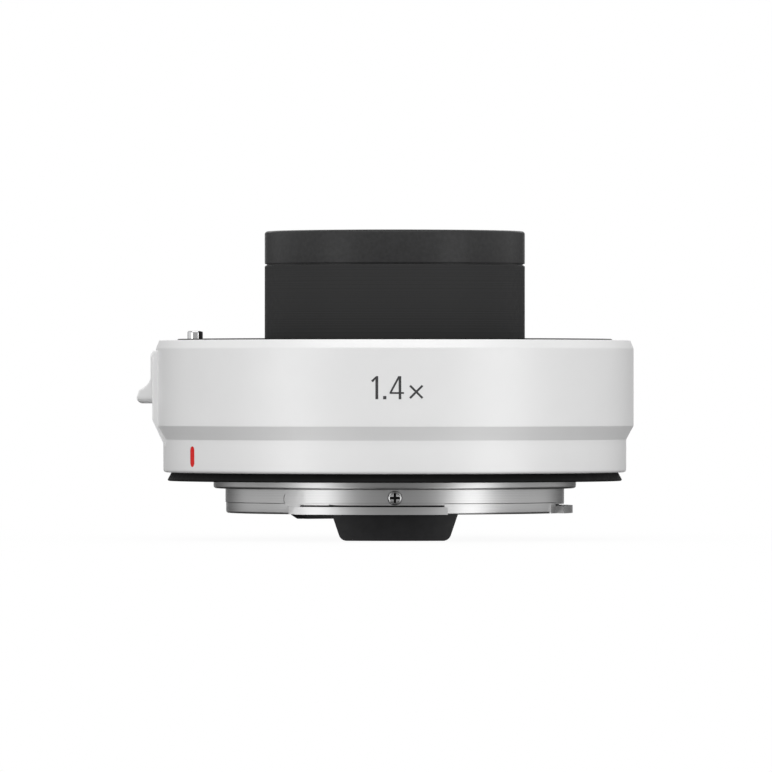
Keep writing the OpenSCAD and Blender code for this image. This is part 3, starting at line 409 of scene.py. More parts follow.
def dark_screw_finish():
    made = metal_finish("blackened_screws", (0.06, 0.06, 0.062), 0.36, 0.1)
    return made.tint(made.grain(0.4), (0.04, 0.04, 0.042), (0.08, 0.08, 0.082))


def glass_finish(name, base, coat):
    """Clear glass whose thin coating lets only a tinted share of the light bounce off."""
    made = Finish(name, base, 0.0).set(IOR=1.52, Transmission_Weight=1.0, Specular_Tint=(*coat, 1.0))
    return made.shades(made.grain(6.0), 0.99, 1.0)


def edge_finish():
    """Matt black paint on the ground edge of the glass."""
    made = Finish("edge_black", (0.006, 0.006, 0.006), 0.7)
    made.tint(made.grain(0.3), (0.005, 0.005, 0.005), (0.009, 0.009, 0.009))
    return made.rough(made.grain(0.2), 0.6, 0.8).raised(made.grain(0.12), 0.01, 0.5)


def board_finish():
    made = Finish("green_board", colours().board, 0.3)
    tracks = made.node("TexBrick", {"offset": 0.37, "squash": 1.6}, Vector=made.place, Scale=420.0,
                       Mortar_Size=0.06).outputs["Fac"]
    return made.shades(tracks, 1.0, 1.9).rough(made.grain(0.5), 0.24, 0.4).raised(tracks, 0.02, 0.6)


def chip_finish():
    made = Finish("chip_package", (0.018, 0.018, 0.019), 0.55)
    made.tint(made.grain(0.2), (0.014, 0.014, 0.015), (0.024, 0.024, 0.025))
    return made.rough(made.grain(0.2), 0.48, 0.62).raised(made.grain(0.1), 0.008, 0.5)


def ribbon_finish():
    made = Finish("amber_ribbon", colours().ribbon, 0.3)
    x = made.node("SeparateXYZ", Vector=made.place).outputs[0]
    tracks = made.math("SINE", made.math("MULTIPLY", x, 2 * math.pi / (0.6 * MM)))
    made.tint(made.math("MULTIPLY_ADD", tracks, 0.4, 0.5), made.base, (0.55, 0.27, 0.09))
    return made.rough(made.grain(0.5), 0.24, 0.38).raised(tracks, 0.01, 0.5)


FINISHES = {
    "white_paint": paint_finish,
    "red_paint": index_finish,
    "black_trim": trim_finish,
    "stainless": steel_finish,
    "chrome_pin": lambda: metal_finish("bright_plating", colours().chrome, 0.1, 0.15),
    "spring_steel": lambda: metal_finish("spring_wire", colours().spring, 0.3, 0.1),
    "screw_steel": lambda: metal_finish("plain_screws", colours().screw, 0.28, 0.1),
    "black_screw": dark_screw_finish,
    "brass_part": lambda: metal_finish("plain_brass", colours().brass, 0.3, 0.2),
    "black_metal": anodised_finish,
    "tube_black": tube_finish,
    "rubber_black": rubber_finish,
    "coated_glass": lambda: glass_finish("inner_glass", (0.96, 0.985, 0.98), (0.03, 0.03, 0.035)),
    "gold_plate": gold_finish,
    "board_green": board_finish,
    "chip_black": chip_finish,
    "flex_amber": ribbon_finish,
}
MADE = {}


def finish_of(name, make=None):
    """The material of this name, made once; a slot's name alone gives the slot's own finish."""
    if name not in MADE:
        MADE[name] = (make or FINISHES[name])().material
    return MADE[name]


def dress(piece, material):
    """Gives a piece or a CAD node one finish."""
    piece.data.materials.clear()
    piece.data.materials.append(material)


def hand_in(piece, body, slot, material, *nodes):
    """Lets a finished piece ride on its body with its finish and the nodes that it stands for; the slot is
    not used.
    """
    dress(piece, material)
    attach(piece, body)
    if nodes:
        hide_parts(*nodes)


# Modelling helpers

def deselect():
    """Leaves edit mode and selects nothing."""
    if bpy.context.object and bpy.context.object.mode != "OBJECT":
        bpy.ops.object.mode_set(mode="OBJECT")
    bpy.ops.object.select_all(action="DESELECT")


def only(piece):
    """Makes a piece the one that is selected and active."""
    deselect()
    piece.select_set(True)
    bpy.context.view_layer.objects.active = piece


def edit(piece, action="SELECT"):
    """Goes into edit mode on one piece, with all or none of it selected."""
    only(piece)
    bpy.ops.object.mode_set(mode="EDIT")
    bpy.ops.mesh.select_all(action=action)


def edit_some(piece, kind, wanted):
    """Goes into edit mode with only the wanted vertices or edges of a piece selected."""
    edit(piece, "DESELECT")
    bpy.ops.object.mode_set(mode="OBJECT")
    for part in getattr(piece.data, kind):
        part.select = wanted(part)
    bpy.ops.object.mode_set(mode="EDIT")


def close_up():
    """Merges double points in edit mode, turns all faces outwards and goes back to object mode."""
    bpy.ops.mesh.select_all(action="SELECT")
    bpy.ops.mesh.remove_doubles(threshold=WELD)
    bpy.ops.mesh.normals_make_consistent(inside=False)
    bpy.ops.object.mode_set(mode="OBJECT")


def named(name):
    """The primitive that was just added, with its name and its place in its mesh."""
    piece = bpy.context.object
    piece.name = piece.data.name = name
    bpy.ops.object.transform_apply()
    return piece


def linked(name, data):
    """A new object of the scene with this data."""
    piece = bpy.data.objects.new(name, data)
    bpy.context.scene.collection.objects.link(piece)
    return piece


def apply_modifier(piece, kind, **settings):
    """Adds a modifier, sets it and applies it."""
    only(piece)
    modifier = piece.modifiers.new(kind.lower(), kind)
    for key, value in settings.items():
        setattr(modifier, key, value)
    bpy.ops.object.modifier_apply(modifier=modifier.name)


def combine(piece, other, operation):
    """Joins, cuts or trims a piece with another one, which is used up."""
    apply_modifier(piece, "BOOLEAN", operation=operation, object=other, solver="EXACT")
    bpy.data.objects.remove(other)


def cut(piece, *others):
    """Cuts others out of a piece, one after the other."""
    for other in others:
        combine(piece, other, "DIFFERENCE")


def evened(piece, grid, passes):
    """Evens out a shape on a fine grid and softens its edges."""
    apply_modifier(piece, "REMESH", mode="VOXEL", voxel_size=grid, use_smooth_shade=True)
    apply_modifier(piece, "SMOOTH", factor=0.5, iterations=passes)


def smooth(piece):
    """Clears the slivers that cuts leave, then smooth shading that keeps the real edges."""
    edit(piece)
    bpy.ops.mesh.remove_doubles(threshold=SLIVER)
    bpy.ops.mesh.dissolve_degenerate(threshold=SLIVER)
    bpy.ops.object.mode_set(mode="OBJECT")
    bpy.ops.object.shade_smooth_by_angle(angle=SHARP)


def turned_and_placed(piece, turn=(0.0, 0.0, 0.0), place=(0.0, 0.0, 0.0)):
    """Turns a piece, moves it to its place in millimetres and keeps both in its mesh."""
    only(piece)
    piece.rotation_euler = turn
    piece.location = [value * MM for value in place]
    bpy.ops.object.transform_apply()


def line(name, points, depth=0.0):
    """A line of X and Z in millimetres, at a depth along Y, left selected in edit mode."""
    deselect()
    x, z = points[0]
    bpy.ops.mesh.primitive_plane_add(size=MM, location=(x * MM, depth * MM, z * MM))
    piece = named(name)
    edit(piece)
    bpy.ops.mesh.select_mode(type="VERT")
    bpy.ops.mesh.merge(type="CENTER")
    for next_x, next_z in points[1:]:
        step = ((next_x - x) * MM, 0.0, (next_z - z) * MM)
        bpy.ops.mesh.extrude_vertices_move(TRANSFORM_OT_translate={"value": step})
        x, z = next_x, next_z
    bpy.ops.mesh.select_all(action="SELECT")
    bpy.ops.mesh.remove_doubles(threshold=WELD)
    return piece


def spun(name, profile, steps, closed=True):
    """A turned piece: a line of radius and height in millimetres, spun round the axis."""
    piece = line(name, [*profile, profile[0]] if closed else profile)
    bpy.ops.mesh.spin(steps=steps, angle=2 * math.pi, center=(0.0, 0.0, 0.0), axis=(0.0, 0.0, 1.0))
    close_up()
    bpy.ops.object.shade_smooth_by_angle(angle=SHARP)
    return piece


def plate(name, outline, low, high, turn=0.0):
    """A side view in millimetres, filled, pulled out along Y and turned round the axis by degrees."""
    piece = line(name, outline, low)
    bpy.ops.mesh.edge_face_add()
    bpy.ops.mesh.extrude_region_move(TRANSFORM_OT_translate={"value": (0.0, (high - low) * MM, 0.0)})
    close_up()
    turned_and_placed(piece, (0.0, 0.0, math.radians(turn)))
    return piece


def block(name, low, high):
    """A plain block between two corners in millimetres."""
    deselect()
    bpy.ops.mesh.primitive_cube_add(size=MM, location=[(a + b) / 2 * MM for a, b in zip(low, high)],
                                    scale=[b - a for a, b in zip(low, high)])
    return named(name)


def sector(name, inner, outer, low, high, start, end):
    """A piece of a ring between two angles in degrees, counted from the marked side towards +X."""
    deselect()
    bpy.ops.mesh.primitive_plane_add(size=MM, location=((inner + outer) / 2 * MM, 0.0, (low + high) / 2 * MM),
                                     rotation=(math.pi / 2, 0.0, 0.0))
    bpy.context.object.scale = (outer - inner, high - low, 1.0)
    piece = named(name)
    edit(piece)
    turn, step, fewest = end - start, 2.5, 4
    bpy.ops.mesh.spin(steps=max(fewest, round(turn / step)), angle=math.radians(turn),
                      center=(0.0, 0.0, 0.0), axis=(0.0, 0.0, 1.0))
    close_up()
    turned_and_placed(piece, (0.0, 0.0, math.radians(end - 90.0)))
    return piece


def drawn(name, outlines):
    """A flat mesh in the plane of X and Z from closed outlines, where an inner outline is a hole."""
    curve = bpy.data.curves.new(name, "CURVE")
    curve.dimensions = "2D"
    curve.fill_mode = "BOTH"
    for outline in outlines:
        spline = curve.splines.new("POLY")
        spline.points.add(len(outline) - 1)
        for point, (x, z) in zip(spline.points, outline):
            point.co = (x * MM, z * MM, 0.0, 1.0)
        spline.use_cyclic_u = True
    only(linked(name, curve))
    bpy.ops.object.convert(target="MESH")
    piece = bpy.context.object
    turned_and_placed(piece, (math.pi / 2, 0.0, 0.0))
    return piece


def merged_copy(node, name):
    """A copy of a solid's mesh with its loose triangles merged, to be cut further."""
    piece = linked(name, NODES[node].data.copy())
    only(piece)
    bpy.ops.mesh.customdata_custom_splitnormals_clear()
    edit(piece)
    bpy.ops.mesh.remove_doubles(threshold=WELD)
    bpy.ops.object.mode_set(mode="OBJECT")
    return piece


def arc(middle, radius, start, end, steps):
    """Points of an arc in the plane of radius and height, from one angle to another in degrees."""
    angles = [math.radians(start + (end - start) * i / steps) for i in range(steps + 1)]
    return [(middle[0] + radius * math.cos(a), middle[1] + radius * math.sin(a)) for a in angles]


def softened(corners, steps=5):
    """A closed line with rounded corners; each corner gives its radius, its height and its rounding."""
    points = []
    for i, (r, z, edge) in enumerate(corners):
        corner = Vector((r, z))
        before = (Vector(corners[i - 1][:2]) - corner).normalized()
        after = (Vector(corners[(i + 1) % len(corners)][:2]) - corner).normalized()
        reach = edge / math.tan(before.angle(after) / 2)
        start, end = corner + before * reach, corner + after * reach
        shares = [k / steps for k in range(steps + 1)] if edge else [0.5]
        points += [tuple(start * (1 - t) ** 2 + corner * 2 * t * (1 - t) + end * t * t) for t in shares]
    return points


# Operators

class CONVERTER_OT_carried_over(bpy.types.Operator):
    """Gives every solid of the frame its finish"""
    bl_idname = "converter.carried_over"
    bl_label = "Solids of the frame"

    def execute(self, context):
        for node, piece in NODES.items():
            dress(piece, finish_of(SLOT_OF[node]))
        dress(NODES["front_trim_ring"], finish_of("rim_black", rim_finish))
        return {"FINISHED"}


class CONVERTER_OT_glass(bpy.types.Operator):
    """Turns the seven glass elements, with fine even rings and a blackened ground edge"""
    bl_idname = "converter.glass"
    bl_label = "Glass elements"

    def execute(self, context):
        clear, inner = (0.96, 0.98, 0.97), finish_of("coated_glass")
        front = finish_of("front_glass", lambda: glass_finish("front_glass", clear, colours().coat_front))
        rear = finish_of("rear_glass", lambda: glass_finish("rear_glass", clear, colours().coat_rear))
        self.element("front_element", 44.8, -28.0, front)
        self.element("front_cemented_element", 28.0, 89.6, inner)
        self.element("triplet_front_element", 59.0, 29.94, inner)
        self.element("triplet_middle_element", -29.94, -25.96, inner)
        self.element("triplet_rear_element", 25.96, 70.06, inner)
        self.element("third_element", -40.05, -37.95, inner)
        self.element("rear_element", 44.99, 120.62, rear)
        return {"FINISHED"}

    def element(self, node, front, back, glass):
        """One element between two round faces; a face whose radius is below zero is hollow."""
        low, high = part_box(node)
        rim, bottom, top = high.x / MM, low.z / MM, high.z / MM
        chamfer, rings, steps, edge_tilt = 0.2, 14, 112, 0.75
        cement = sizes().cement / MM

        def sag(r, face):
            return math.copysign(abs(face) - math.sqrt(face * face - r * r), face)

        top += min(0.0, sag(rim, front)) + cement / 2
        bottom -= min(0.0, sag(rim, back)) + cement / 2
        radii = [(rim - chamfer) * i / rings for i in range(rings + 1)]
        upper = [(r, top - sag(r, front)) for r in radii]
        lower = [(r, bottom + sag(r, back)) for r in radii]
        edge = [(rim, upper[-1][1] - chamfer), (rim, lower[-1][1] + chamfer)]
        piece = spun(node + "_turned", upper + edge + lower[::-1], steps, closed=False)
        hand_in(piece, "housing", "coated_glass", glass, node)
        piece.data.materials.append(finish_of("edge_black", edge_finish))
        for face in piece.data.polygons:
            face.material_index = int(abs(face.normal.z) < edge_tilt)


class CONVERTER_OT_hood(bpy.types.Operator):
    """Turns the ring that closes the front tube, with soft edges and fine steps inside its hood"""
    bl_idname = "converter.hood"
    bl_label = "Hood ring"

    def execute(self, context):
        low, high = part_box("front_cap_ring")
        outer, seam, top = high.x / MM, low.z / MM, high.z / MM
        edge, step = sizes().hood_edge / MM, sizes().hood_step / MM
        bore, mouth, lip, glass, seat = 18.0, 17.55, 15.95, 34.2, 33.5
        seam_edge, mouth_edge, seam_depth, seam_gap = 0.15, 0.12, 0.3, 0.01
        steps, undercut, riser, tread, lip_edge = 7, 0.02, 0.04, 0.05, 0.06
        shoulder, foot = outer - seam_depth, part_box("front_tube")[1].z / MM + seam_gap
        profile = [(bore, foot), (shoulder, foot), (shoulder, seam),
                   *arc((outer - seam_edge, seam + seam_edge), seam_edge, -90.0, 0.0, 4),
                   *arc((outer - edge, top - edge), edge, 0.0, 90.0, 8),
                   *arc((mouth + mouth_edge, top - mouth_edge), mouth_edge, 90.0, 150.0, 4)]
        slope = [(mouth + (lip - mouth) * i / steps, top + (glass - top) * i / steps)
                 for i in range(steps + 1)]
        for (r, z), (next_r, next_z) in zip(slope[:-1], slope[1:]):
            profile += [(r + undercut, z - step), (r, next_z + riser), (next_r + tread, next_z)]
        profile += [(lip, glass - lip_edge), (lip, seat), (bore, seat)]
        piece = spun("hood_ring", profile, steps=160)
        hand_in(piece, "housing", "tube_black", finish_of("cap_black", cap_finish), "front_cap_ring")
        return {"FINISHED"}


class CONVERTER_OT_barrel(bpy.types.Operator):
    """Turns the white barrel with soft edges and joins the lever's pad, with its recess, slot and pockets"""
    bl_idname = "converter.barrel"
    bl_label = "Barrel"

    # The pad under the lever, and the recess between its rails
    pad_face, pad_half, pad_top = 36.06, 5.3, 18.55
    recess_floor, recess_half, recess_low, outside = 35.21, 3.75, 8.85, 36.6

    def execute(self, context):
        low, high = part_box("outer_barrel")
        self.foot, self.top, self.band = low.z / MM, high.z / MM, high.x / MM
        barrel = self.shell()
        cut(barrel, block("pad_window", (-36.5, -4.6, 8.2), (-34.6, 4.6, 18.3)))
        combine(barrel, self.pad(), "UNION")
        play = 0.01
        half, floor = self.recess_half - play, self.recess_floor + play
        cut(barrel, block("recess_end", (-self.outside, -half, 18.0), (-floor, half, self.pad_top)),
            block("stem_slot", (-36.1, -1.95, 12.01), (-33.0, 1.95, 16.21)),
            self.index_pocket(), self.dot_pocket())
        smooth(barrel)
        hand_in(barrel, "housing", "white_paint", finish_of("white_paint"), "outer_barrel")
        return {"FINISHED"}

    def shell(self):
        """The turned wall: waist, cone, band and bevel, with rings that keep the shading even at the pad."""
        waist, waist_in, shell_in, rim_in, seat = 34.51, 32.81, 33.91, 32.46, 18.21
        cone_low, cone_high, bevel_low, bevel = 5.33, 7.37, 18.88, 0.5
        waist_rings, band_rings = (4.2, 4.6), (8.2, 18.4)
        wall = [
            (waist_in, self.foot, 0.0), (waist, self.foot, 0.5), *[(waist, z, 0.0) for z in waist_rings],
            (waist, cone_low, 0.3), (self.band, cone_high, 0.3), *[(self.band, z, 0.0) for z in band_rings],
            (self.band, bevel_low, 0.6), (self.band - bevel, self.top, 0.2), (rim_in, self.top, 0.08),
            (rim_in, seat, 0.0), (shell_in, seat, 0.0), (shell_in, cone_high, 0.0), (waist_in, cone_low, 0.0)]
        return spun("white_barrel", softened(wall), steps=192)

    def pad(self):
        """The flat pad with soft edges; its face runs out on the cone and the waist below."""
        face_low, back, foot, foot_face = 8.3, 34.05, 4.23, 34.16
        side = [(-self.pad_face, face_low), (-self.pad_face, self.pad_top), (-back, self.pad_top),
                (-back, foot), (-foot_face, foot)]
        pad = plate("lever_pad", side, -self.pad_half, self.pad_half)
        cut(pad, block("pad_recess", (-self.outside, -self.recess_half, self.recess_low),
                       (-self.recess_floor, self.recess_half, 19.0)))
        evened(pad, sizes().pad_voxel, sizes().pad_smooth)
        return pad

    def index_pocket(self):
        """The cut for the long mark on the waist."""
        half, reach, height, floor, angle = 0.65, 0.9, 2.87, 34.21, -60.0
        outline = [*arc((0.0, height + reach), half, 0.0, 180.0, 10),
                   *arc((0.0, height - reach), half, 180.0, 360.0, 10)]
        return plate("index_pocket", outline, -36.0, -floor, angle)

    def dot_pocket(self):
        """The cut for the round mark on the front edge."""
        radius, depth, above, out, aside = 0.8, 0.3, 0.5, 33.83, math.radians(-1.6)
        low, high = self.top - depth, self.top + above
        side = [(0.0, low), (radius, low), (radius, high), (0.0, high)]
        dot = spun("dot_pocket", side, steps=40, closed=False)
        turned_and_placed(dot, place=(out * math.sin(aside), -out * math.cos(aside), 0.0))
        return dot


class CONVERTER_OT_lever(bpy.types.Operator):
    """Shapes the sliding lever: a hooked side view with rounded corners, a stem and soft edges"""
    bl_idname = "converter.lever"
    bl_label = "Release lever"

    def execute(self, context):
        low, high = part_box("release_lever")
        foot, top, nose = low.z / MM, high.z / MM, -low.x / MM
        half, face, back, spare = high.y / MM, 36.36, 35.26, 1.0
        stem_half, stem_low, stem_high, stem_end, stem_root = 1.8, 13.76, 16.06, 33.06, 0.4
        lever = plate("sliding_lever", self.side(foot, top, nose, face, back), -half - spare, half + spare)
        outline = self.outline((-nose - spare, -half, foot), (-back + spare, half, top))
        combine(lever, outline, "INTERSECT")
        stem = block("lever_stem", (-back - stem_root, -stem_half, stem_low),
                     (-stem_end, stem_half, stem_high))
        combine(lever, stem, "UNION")
        evened(lever, sizes().lever_voxel, sizes().lever_smooth)
        only(lever)
        bpy.ops.object.shade_smooth()
        hand_in(lever, "lever", "white_paint", finish_of("white_paint"), "release_lever")
        return {"FINISHED"}

    def side(self, foot, top, nose, face, back):
        """The side view, with a round hook at the foot and a hollow that runs up to the flat face."""
        hook, hook_h, hollow, edge = 0.9, 1.92, 2.18, 0.4
        sweep, lean, steps = 2.2, 1.2, 12
        shares = [i / steps for i in range(1, steps + 1)]
        return [(-back, foot), *arc((hook - nose, foot + hook), hook, 270.0, 180.0, 8),
                *[(-face - (nose - face) * (1 - t) ** sweep, foot + hook_h + hollow * t ** lean)
                  for t in shares],
                *arc((edge - face, top - edge), edge, 180.0, 90.0, 5), (-back, top)]

    def outline(self, low, high):
        """A block with its four edges along X rounded, which trims the lever's front view."""
        corner, segments = 1.0, 8
        outline = block("lever_outline", low, high)

        def lengthwise(side):
            a, b = (outline.data.vertices[i].co for i in side.vertices)
            return abs(a.x - b.x) > WELD

        edit_some(outline, "edges", lengthwise)
        bpy.ops.mesh.select_mode(type="EDGE")
        bpy.ops.mesh.bevel(offset=corner * MM, segments=segments, affect="EDGES")
        bpy.ops.object.mode_set(mode="OBJECT")
        return outline


class CONVERTER_OT_spring(bpy.types.Operator):
    """Winds the coil spring under the lock pin's collar at its full length; it is not made to shorten as the
    pin goes down
    """
    bl_idname = "converter.spring"
    bl_label = "Lock pin spring"

    def execute(self, context):
        low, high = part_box("lock_pin_spring")
        wire, turns, sides, steps = sizes().spring_wire, sizes().spring_turns, 12, 36
        middle, foot, long = (low + high) / 2, low.z, high.z - low.z
        coil = (high.x - low.x) / 2 - wire
        deselect()
        bpy.ops.mesh.primitive_circle_add(vertices=sides, radius=wire, location=(coil, 0.0, foot + wire),
                                          rotation=(math.pi / 2, 0.0, 0.0))
        spring = named("pin_spring")
        apply_modifier(spring, "SCREW", axis="Z", angle=2 * math.pi, screw_offset=(long - 2 * wire) / turns,
                       iterations=turns, steps=steps, render_steps=steps, use_normal_calculate=True)
        edit(spring)
        bpy.ops.mesh.remove_doubles(threshold=WELD)
        bpy.ops.mesh.fill_holes(sides=0)
        close_up()
        turned_and_placed(spring, place=(middle.x / MM, middle.y / MM, 0.0))
        smooth(spring)
        hand_in(spring, "housing", "spring_steel", finish_of("spring_steel"), "lock_pin_spring")
        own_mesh(spring)
        return {"FINISHED"}


class CONVERTER_OT_mount(bpy.types.Operator):
    """Cuts the relief above the rear mount's lugs, shapes their leading ends and rounds the pocket's floor"""
    bl_idname = "converter.mount"
    bl_label = "Rear mount ring"

    def execute(self, context):
        lugs = ((-34.0, 17.0), (70.7, 128.0), (188.0, 240.0))
        wall, outside, foot, ledge = 25.22, 27.6, -5.7, -4.1
        lug_top, relief_top, relief_in, relief_out = -4.48, -4.24, 24.5, 25.4
        ring = merged_copy("rear_mount_ring", "rear_bayonet")
        combine(ring, sector("pocket_floor", 24.2, 25.17, ledge, -1.6, -42.5, -29.5), "UNION")
        for start, end in lugs:
            cut(ring, sector("lug_lead", wall, outside, foot, ledge, start - 6.0, start + 0.2),
                sector("lug_top", wall, outside, lug_top, ledge, start - 1.0, end + 0.6),
                sector("relief", relief_in, relief_out, lug_top, relief_top, start + 0.4, end - 0.3))
        near = lugs[0][0]
        combine(ring, sector("near_end", 24.6, 26.53, -5.49, lug_top, near - 1.6, near + 1.0), "UNION")
        slant = [(-2.0, -5.6), (-0.75, -5.6), (0.3, -4.4), (-2.0, -4.4)]
        cut(ring, plate("near_slant", slant, -28.0, -wall, near))
        smooth(ring)
        # The relief above the lugs gets a painted shade in the steel's colour
        deep, play = 25.05, 0.01
        steel = finish_of("rear_stainless",
                          lambda: shaded_relief_steel_finish(deep, lug_top - play, relief_top + play))
        hand_in(ring, "housing", "stainless", steel, "rear_mount_ring")
        return {"FINISHED"}


class CONVERTER_OT_screws(bpy.types.Operator):
    """Cuts the cross-head screws of both mounts and of the rear shield"""
    bl_idname = "converter.screws"
    bl_label = "Mount screws"

    def execute(self, context):
        head, shank, widest = 1.2, 0.8, math.radians(130.0)
        mount_angles = (40.0, 130.0, 220.0, 310.0)
        for node, long, tip in (("front_mount_screws", 3.8, 0.0), ("rear_mount_screws", 2.4, math.pi)):
            low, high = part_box(node)
            out, face = (high.x / MM - head) / math.sin(widest), (low if tip else high).z / MM
            self.screws(node, head, shank, long, [(angle, out, face, tip) for angle in mount_angles],
                        finish_of("screw_steel"))
        head, shank, long, shield_angles = 0.98, 0.5, 3.6, (0.0, 115.0, 245.0)
        low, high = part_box("rear_shield_screws")
        out, height = -low.y / MM, (low.z + high.z) / 2 / MM
        self.screws("rear_shield_screws", head, shank, long,
                    [(angle, out, height, math.pi / 2) for angle in shield_angles],
                    finish_of("shield_screws", lambda: shield_screw_finish(-low.y)))
        return {"FINISHED"}

    def screws(self, node, head, shank, long, places, finish):
        """Like screws, each at an angle, a distance from the axis and a height, tipped over by an angle."""
        made = [self.screw(head, shank, long)]
        made += [linked("screw", made[0].data.copy()) for _ in places[1:]]
        for piece, (angle, out, height, tip) in zip(made, places):
            a = math.radians(angle)
            turned_and_placed(piece, (tip, 0.0, a), (out * math.sin(a), -out * math.cos(a), height))
        only(made[0])
        for piece in made[1:]:
            piece.select_set(True)
        bpy.ops.object.join()
        made[0].name = made[0].data.name = node + "_cut"
        smooth(made[0])
        hand_in(made[0], "housing", "screw_steel", finish, node)

    def screw(self, head, shank, long):
        """A flush screw along Z with its head face at the origin and a cross that narrows as it goes down."""
        edge, rim, play, point = sizes().screw_edge / MM, 0.16, 0.01, 0.2
        side = [(0.0, 0.0), (head - 2 * edge, 0.0), (head - edge, -edge * 0.4), (head - play, -edge),
                (head - play, -rim), (shank, -rim - head + shank), (shank, point - long),
                (shank - point, -long), (0.0, -long)]
        piece = spun("screw", side, steps=40, closed=False)
        reach, half, deep, above, taper = 0.82 * head, 0.22 * head, 0.5, 0.1, (0.6, 0.5, 1.0)
        for turn in (0.0, math.pi / 2):
            arm = block("recess", (-reach, -half, -deep), (reach, half, above))
            edit_some(arm, "vertices", lambda corner: corner.co.z < 0.0)
            bpy.ops.transform.resize(value=taper, center_override=(0.0, 0.0, 0.0))
            bpy.ops.object.mode_set(mode="OBJECT")
            turned_and_placed(arm, (0.0, 0.0, turn))
            cut(piece, arm)
        return piece


class CONVERTER_OT_number(bpy.types.Operator):
    """Prints the plain magnification number on the barrel"""
    bl_idname = "converter.number"
    bl_label = "Magnification number"

    def execute(self, context):
        one = [(-2.76, 14.73), (-2.45, 14.73), (-2.45, 11.36), (-2.85, 11.36), (-2.85, 14.28), (-3.23, 13.83),
               (-3.47, 14.08)]
        dot = [(-1.73, 11.83), (-1.26, 11.83), (-1.26, 11.36), (-1.73, 11.36)]
        four = [(0.47, 14.73), (0.91, 14.73), (0.91, 12.40), (1.31, 12.40), (1.31, 12.15), (0.91, 12.15),
                (0.91, 11.36), (0.54, 11.36), (0.54, 12.15), (-0.78, 12.15), (-0.78, 12.40)]
        four_hole = [(0.54, 14.28), (0.54, 12.40), (-0.46, 12.40)]
        x, z, arm, half = 3.10, 12.44, 0.91, 0.105
        corner = [(-arm - half, arm - half), (half - arm, arm + half), (0.0, 2 * half)]
        cross = []
        for _ in range(4):
            cross += [(x + a, z + b) for a, b in corner]
            corner = [(b, -a) for a, b in corner]
        number = drawn("number_1_4x", (one, dot, four, four_hole, cross))
        away = 2 * MM
        edit(number)
        bpy.ops.mesh.remove_doubles(threshold=SLIVER)
        bpy.ops.mesh.quads_convert_to_tris()
        bpy.ops.mesh.subdivide(number_cuts=2)
        bpy.ops.transform.translate(value=(0.0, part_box("outer_barrel")[0].y - away, 0.0))
        bpy.ops.object.mode_set(mode="OBJECT")
        apply_modifier(number, "SHRINKWRAP", target=bpy.data.objects["white_barrel"], wrap_method="PROJECT",
                       use_project_y=True, offset=sizes().number_lift)
        apply_modifier(number, "SOLIDIFY", thickness=sizes().number_depth, offset=0.0)
        hand_in(number, "housing", "black_trim", finish_of("number_ink", ink_finish))
        return {"FINISHED"}


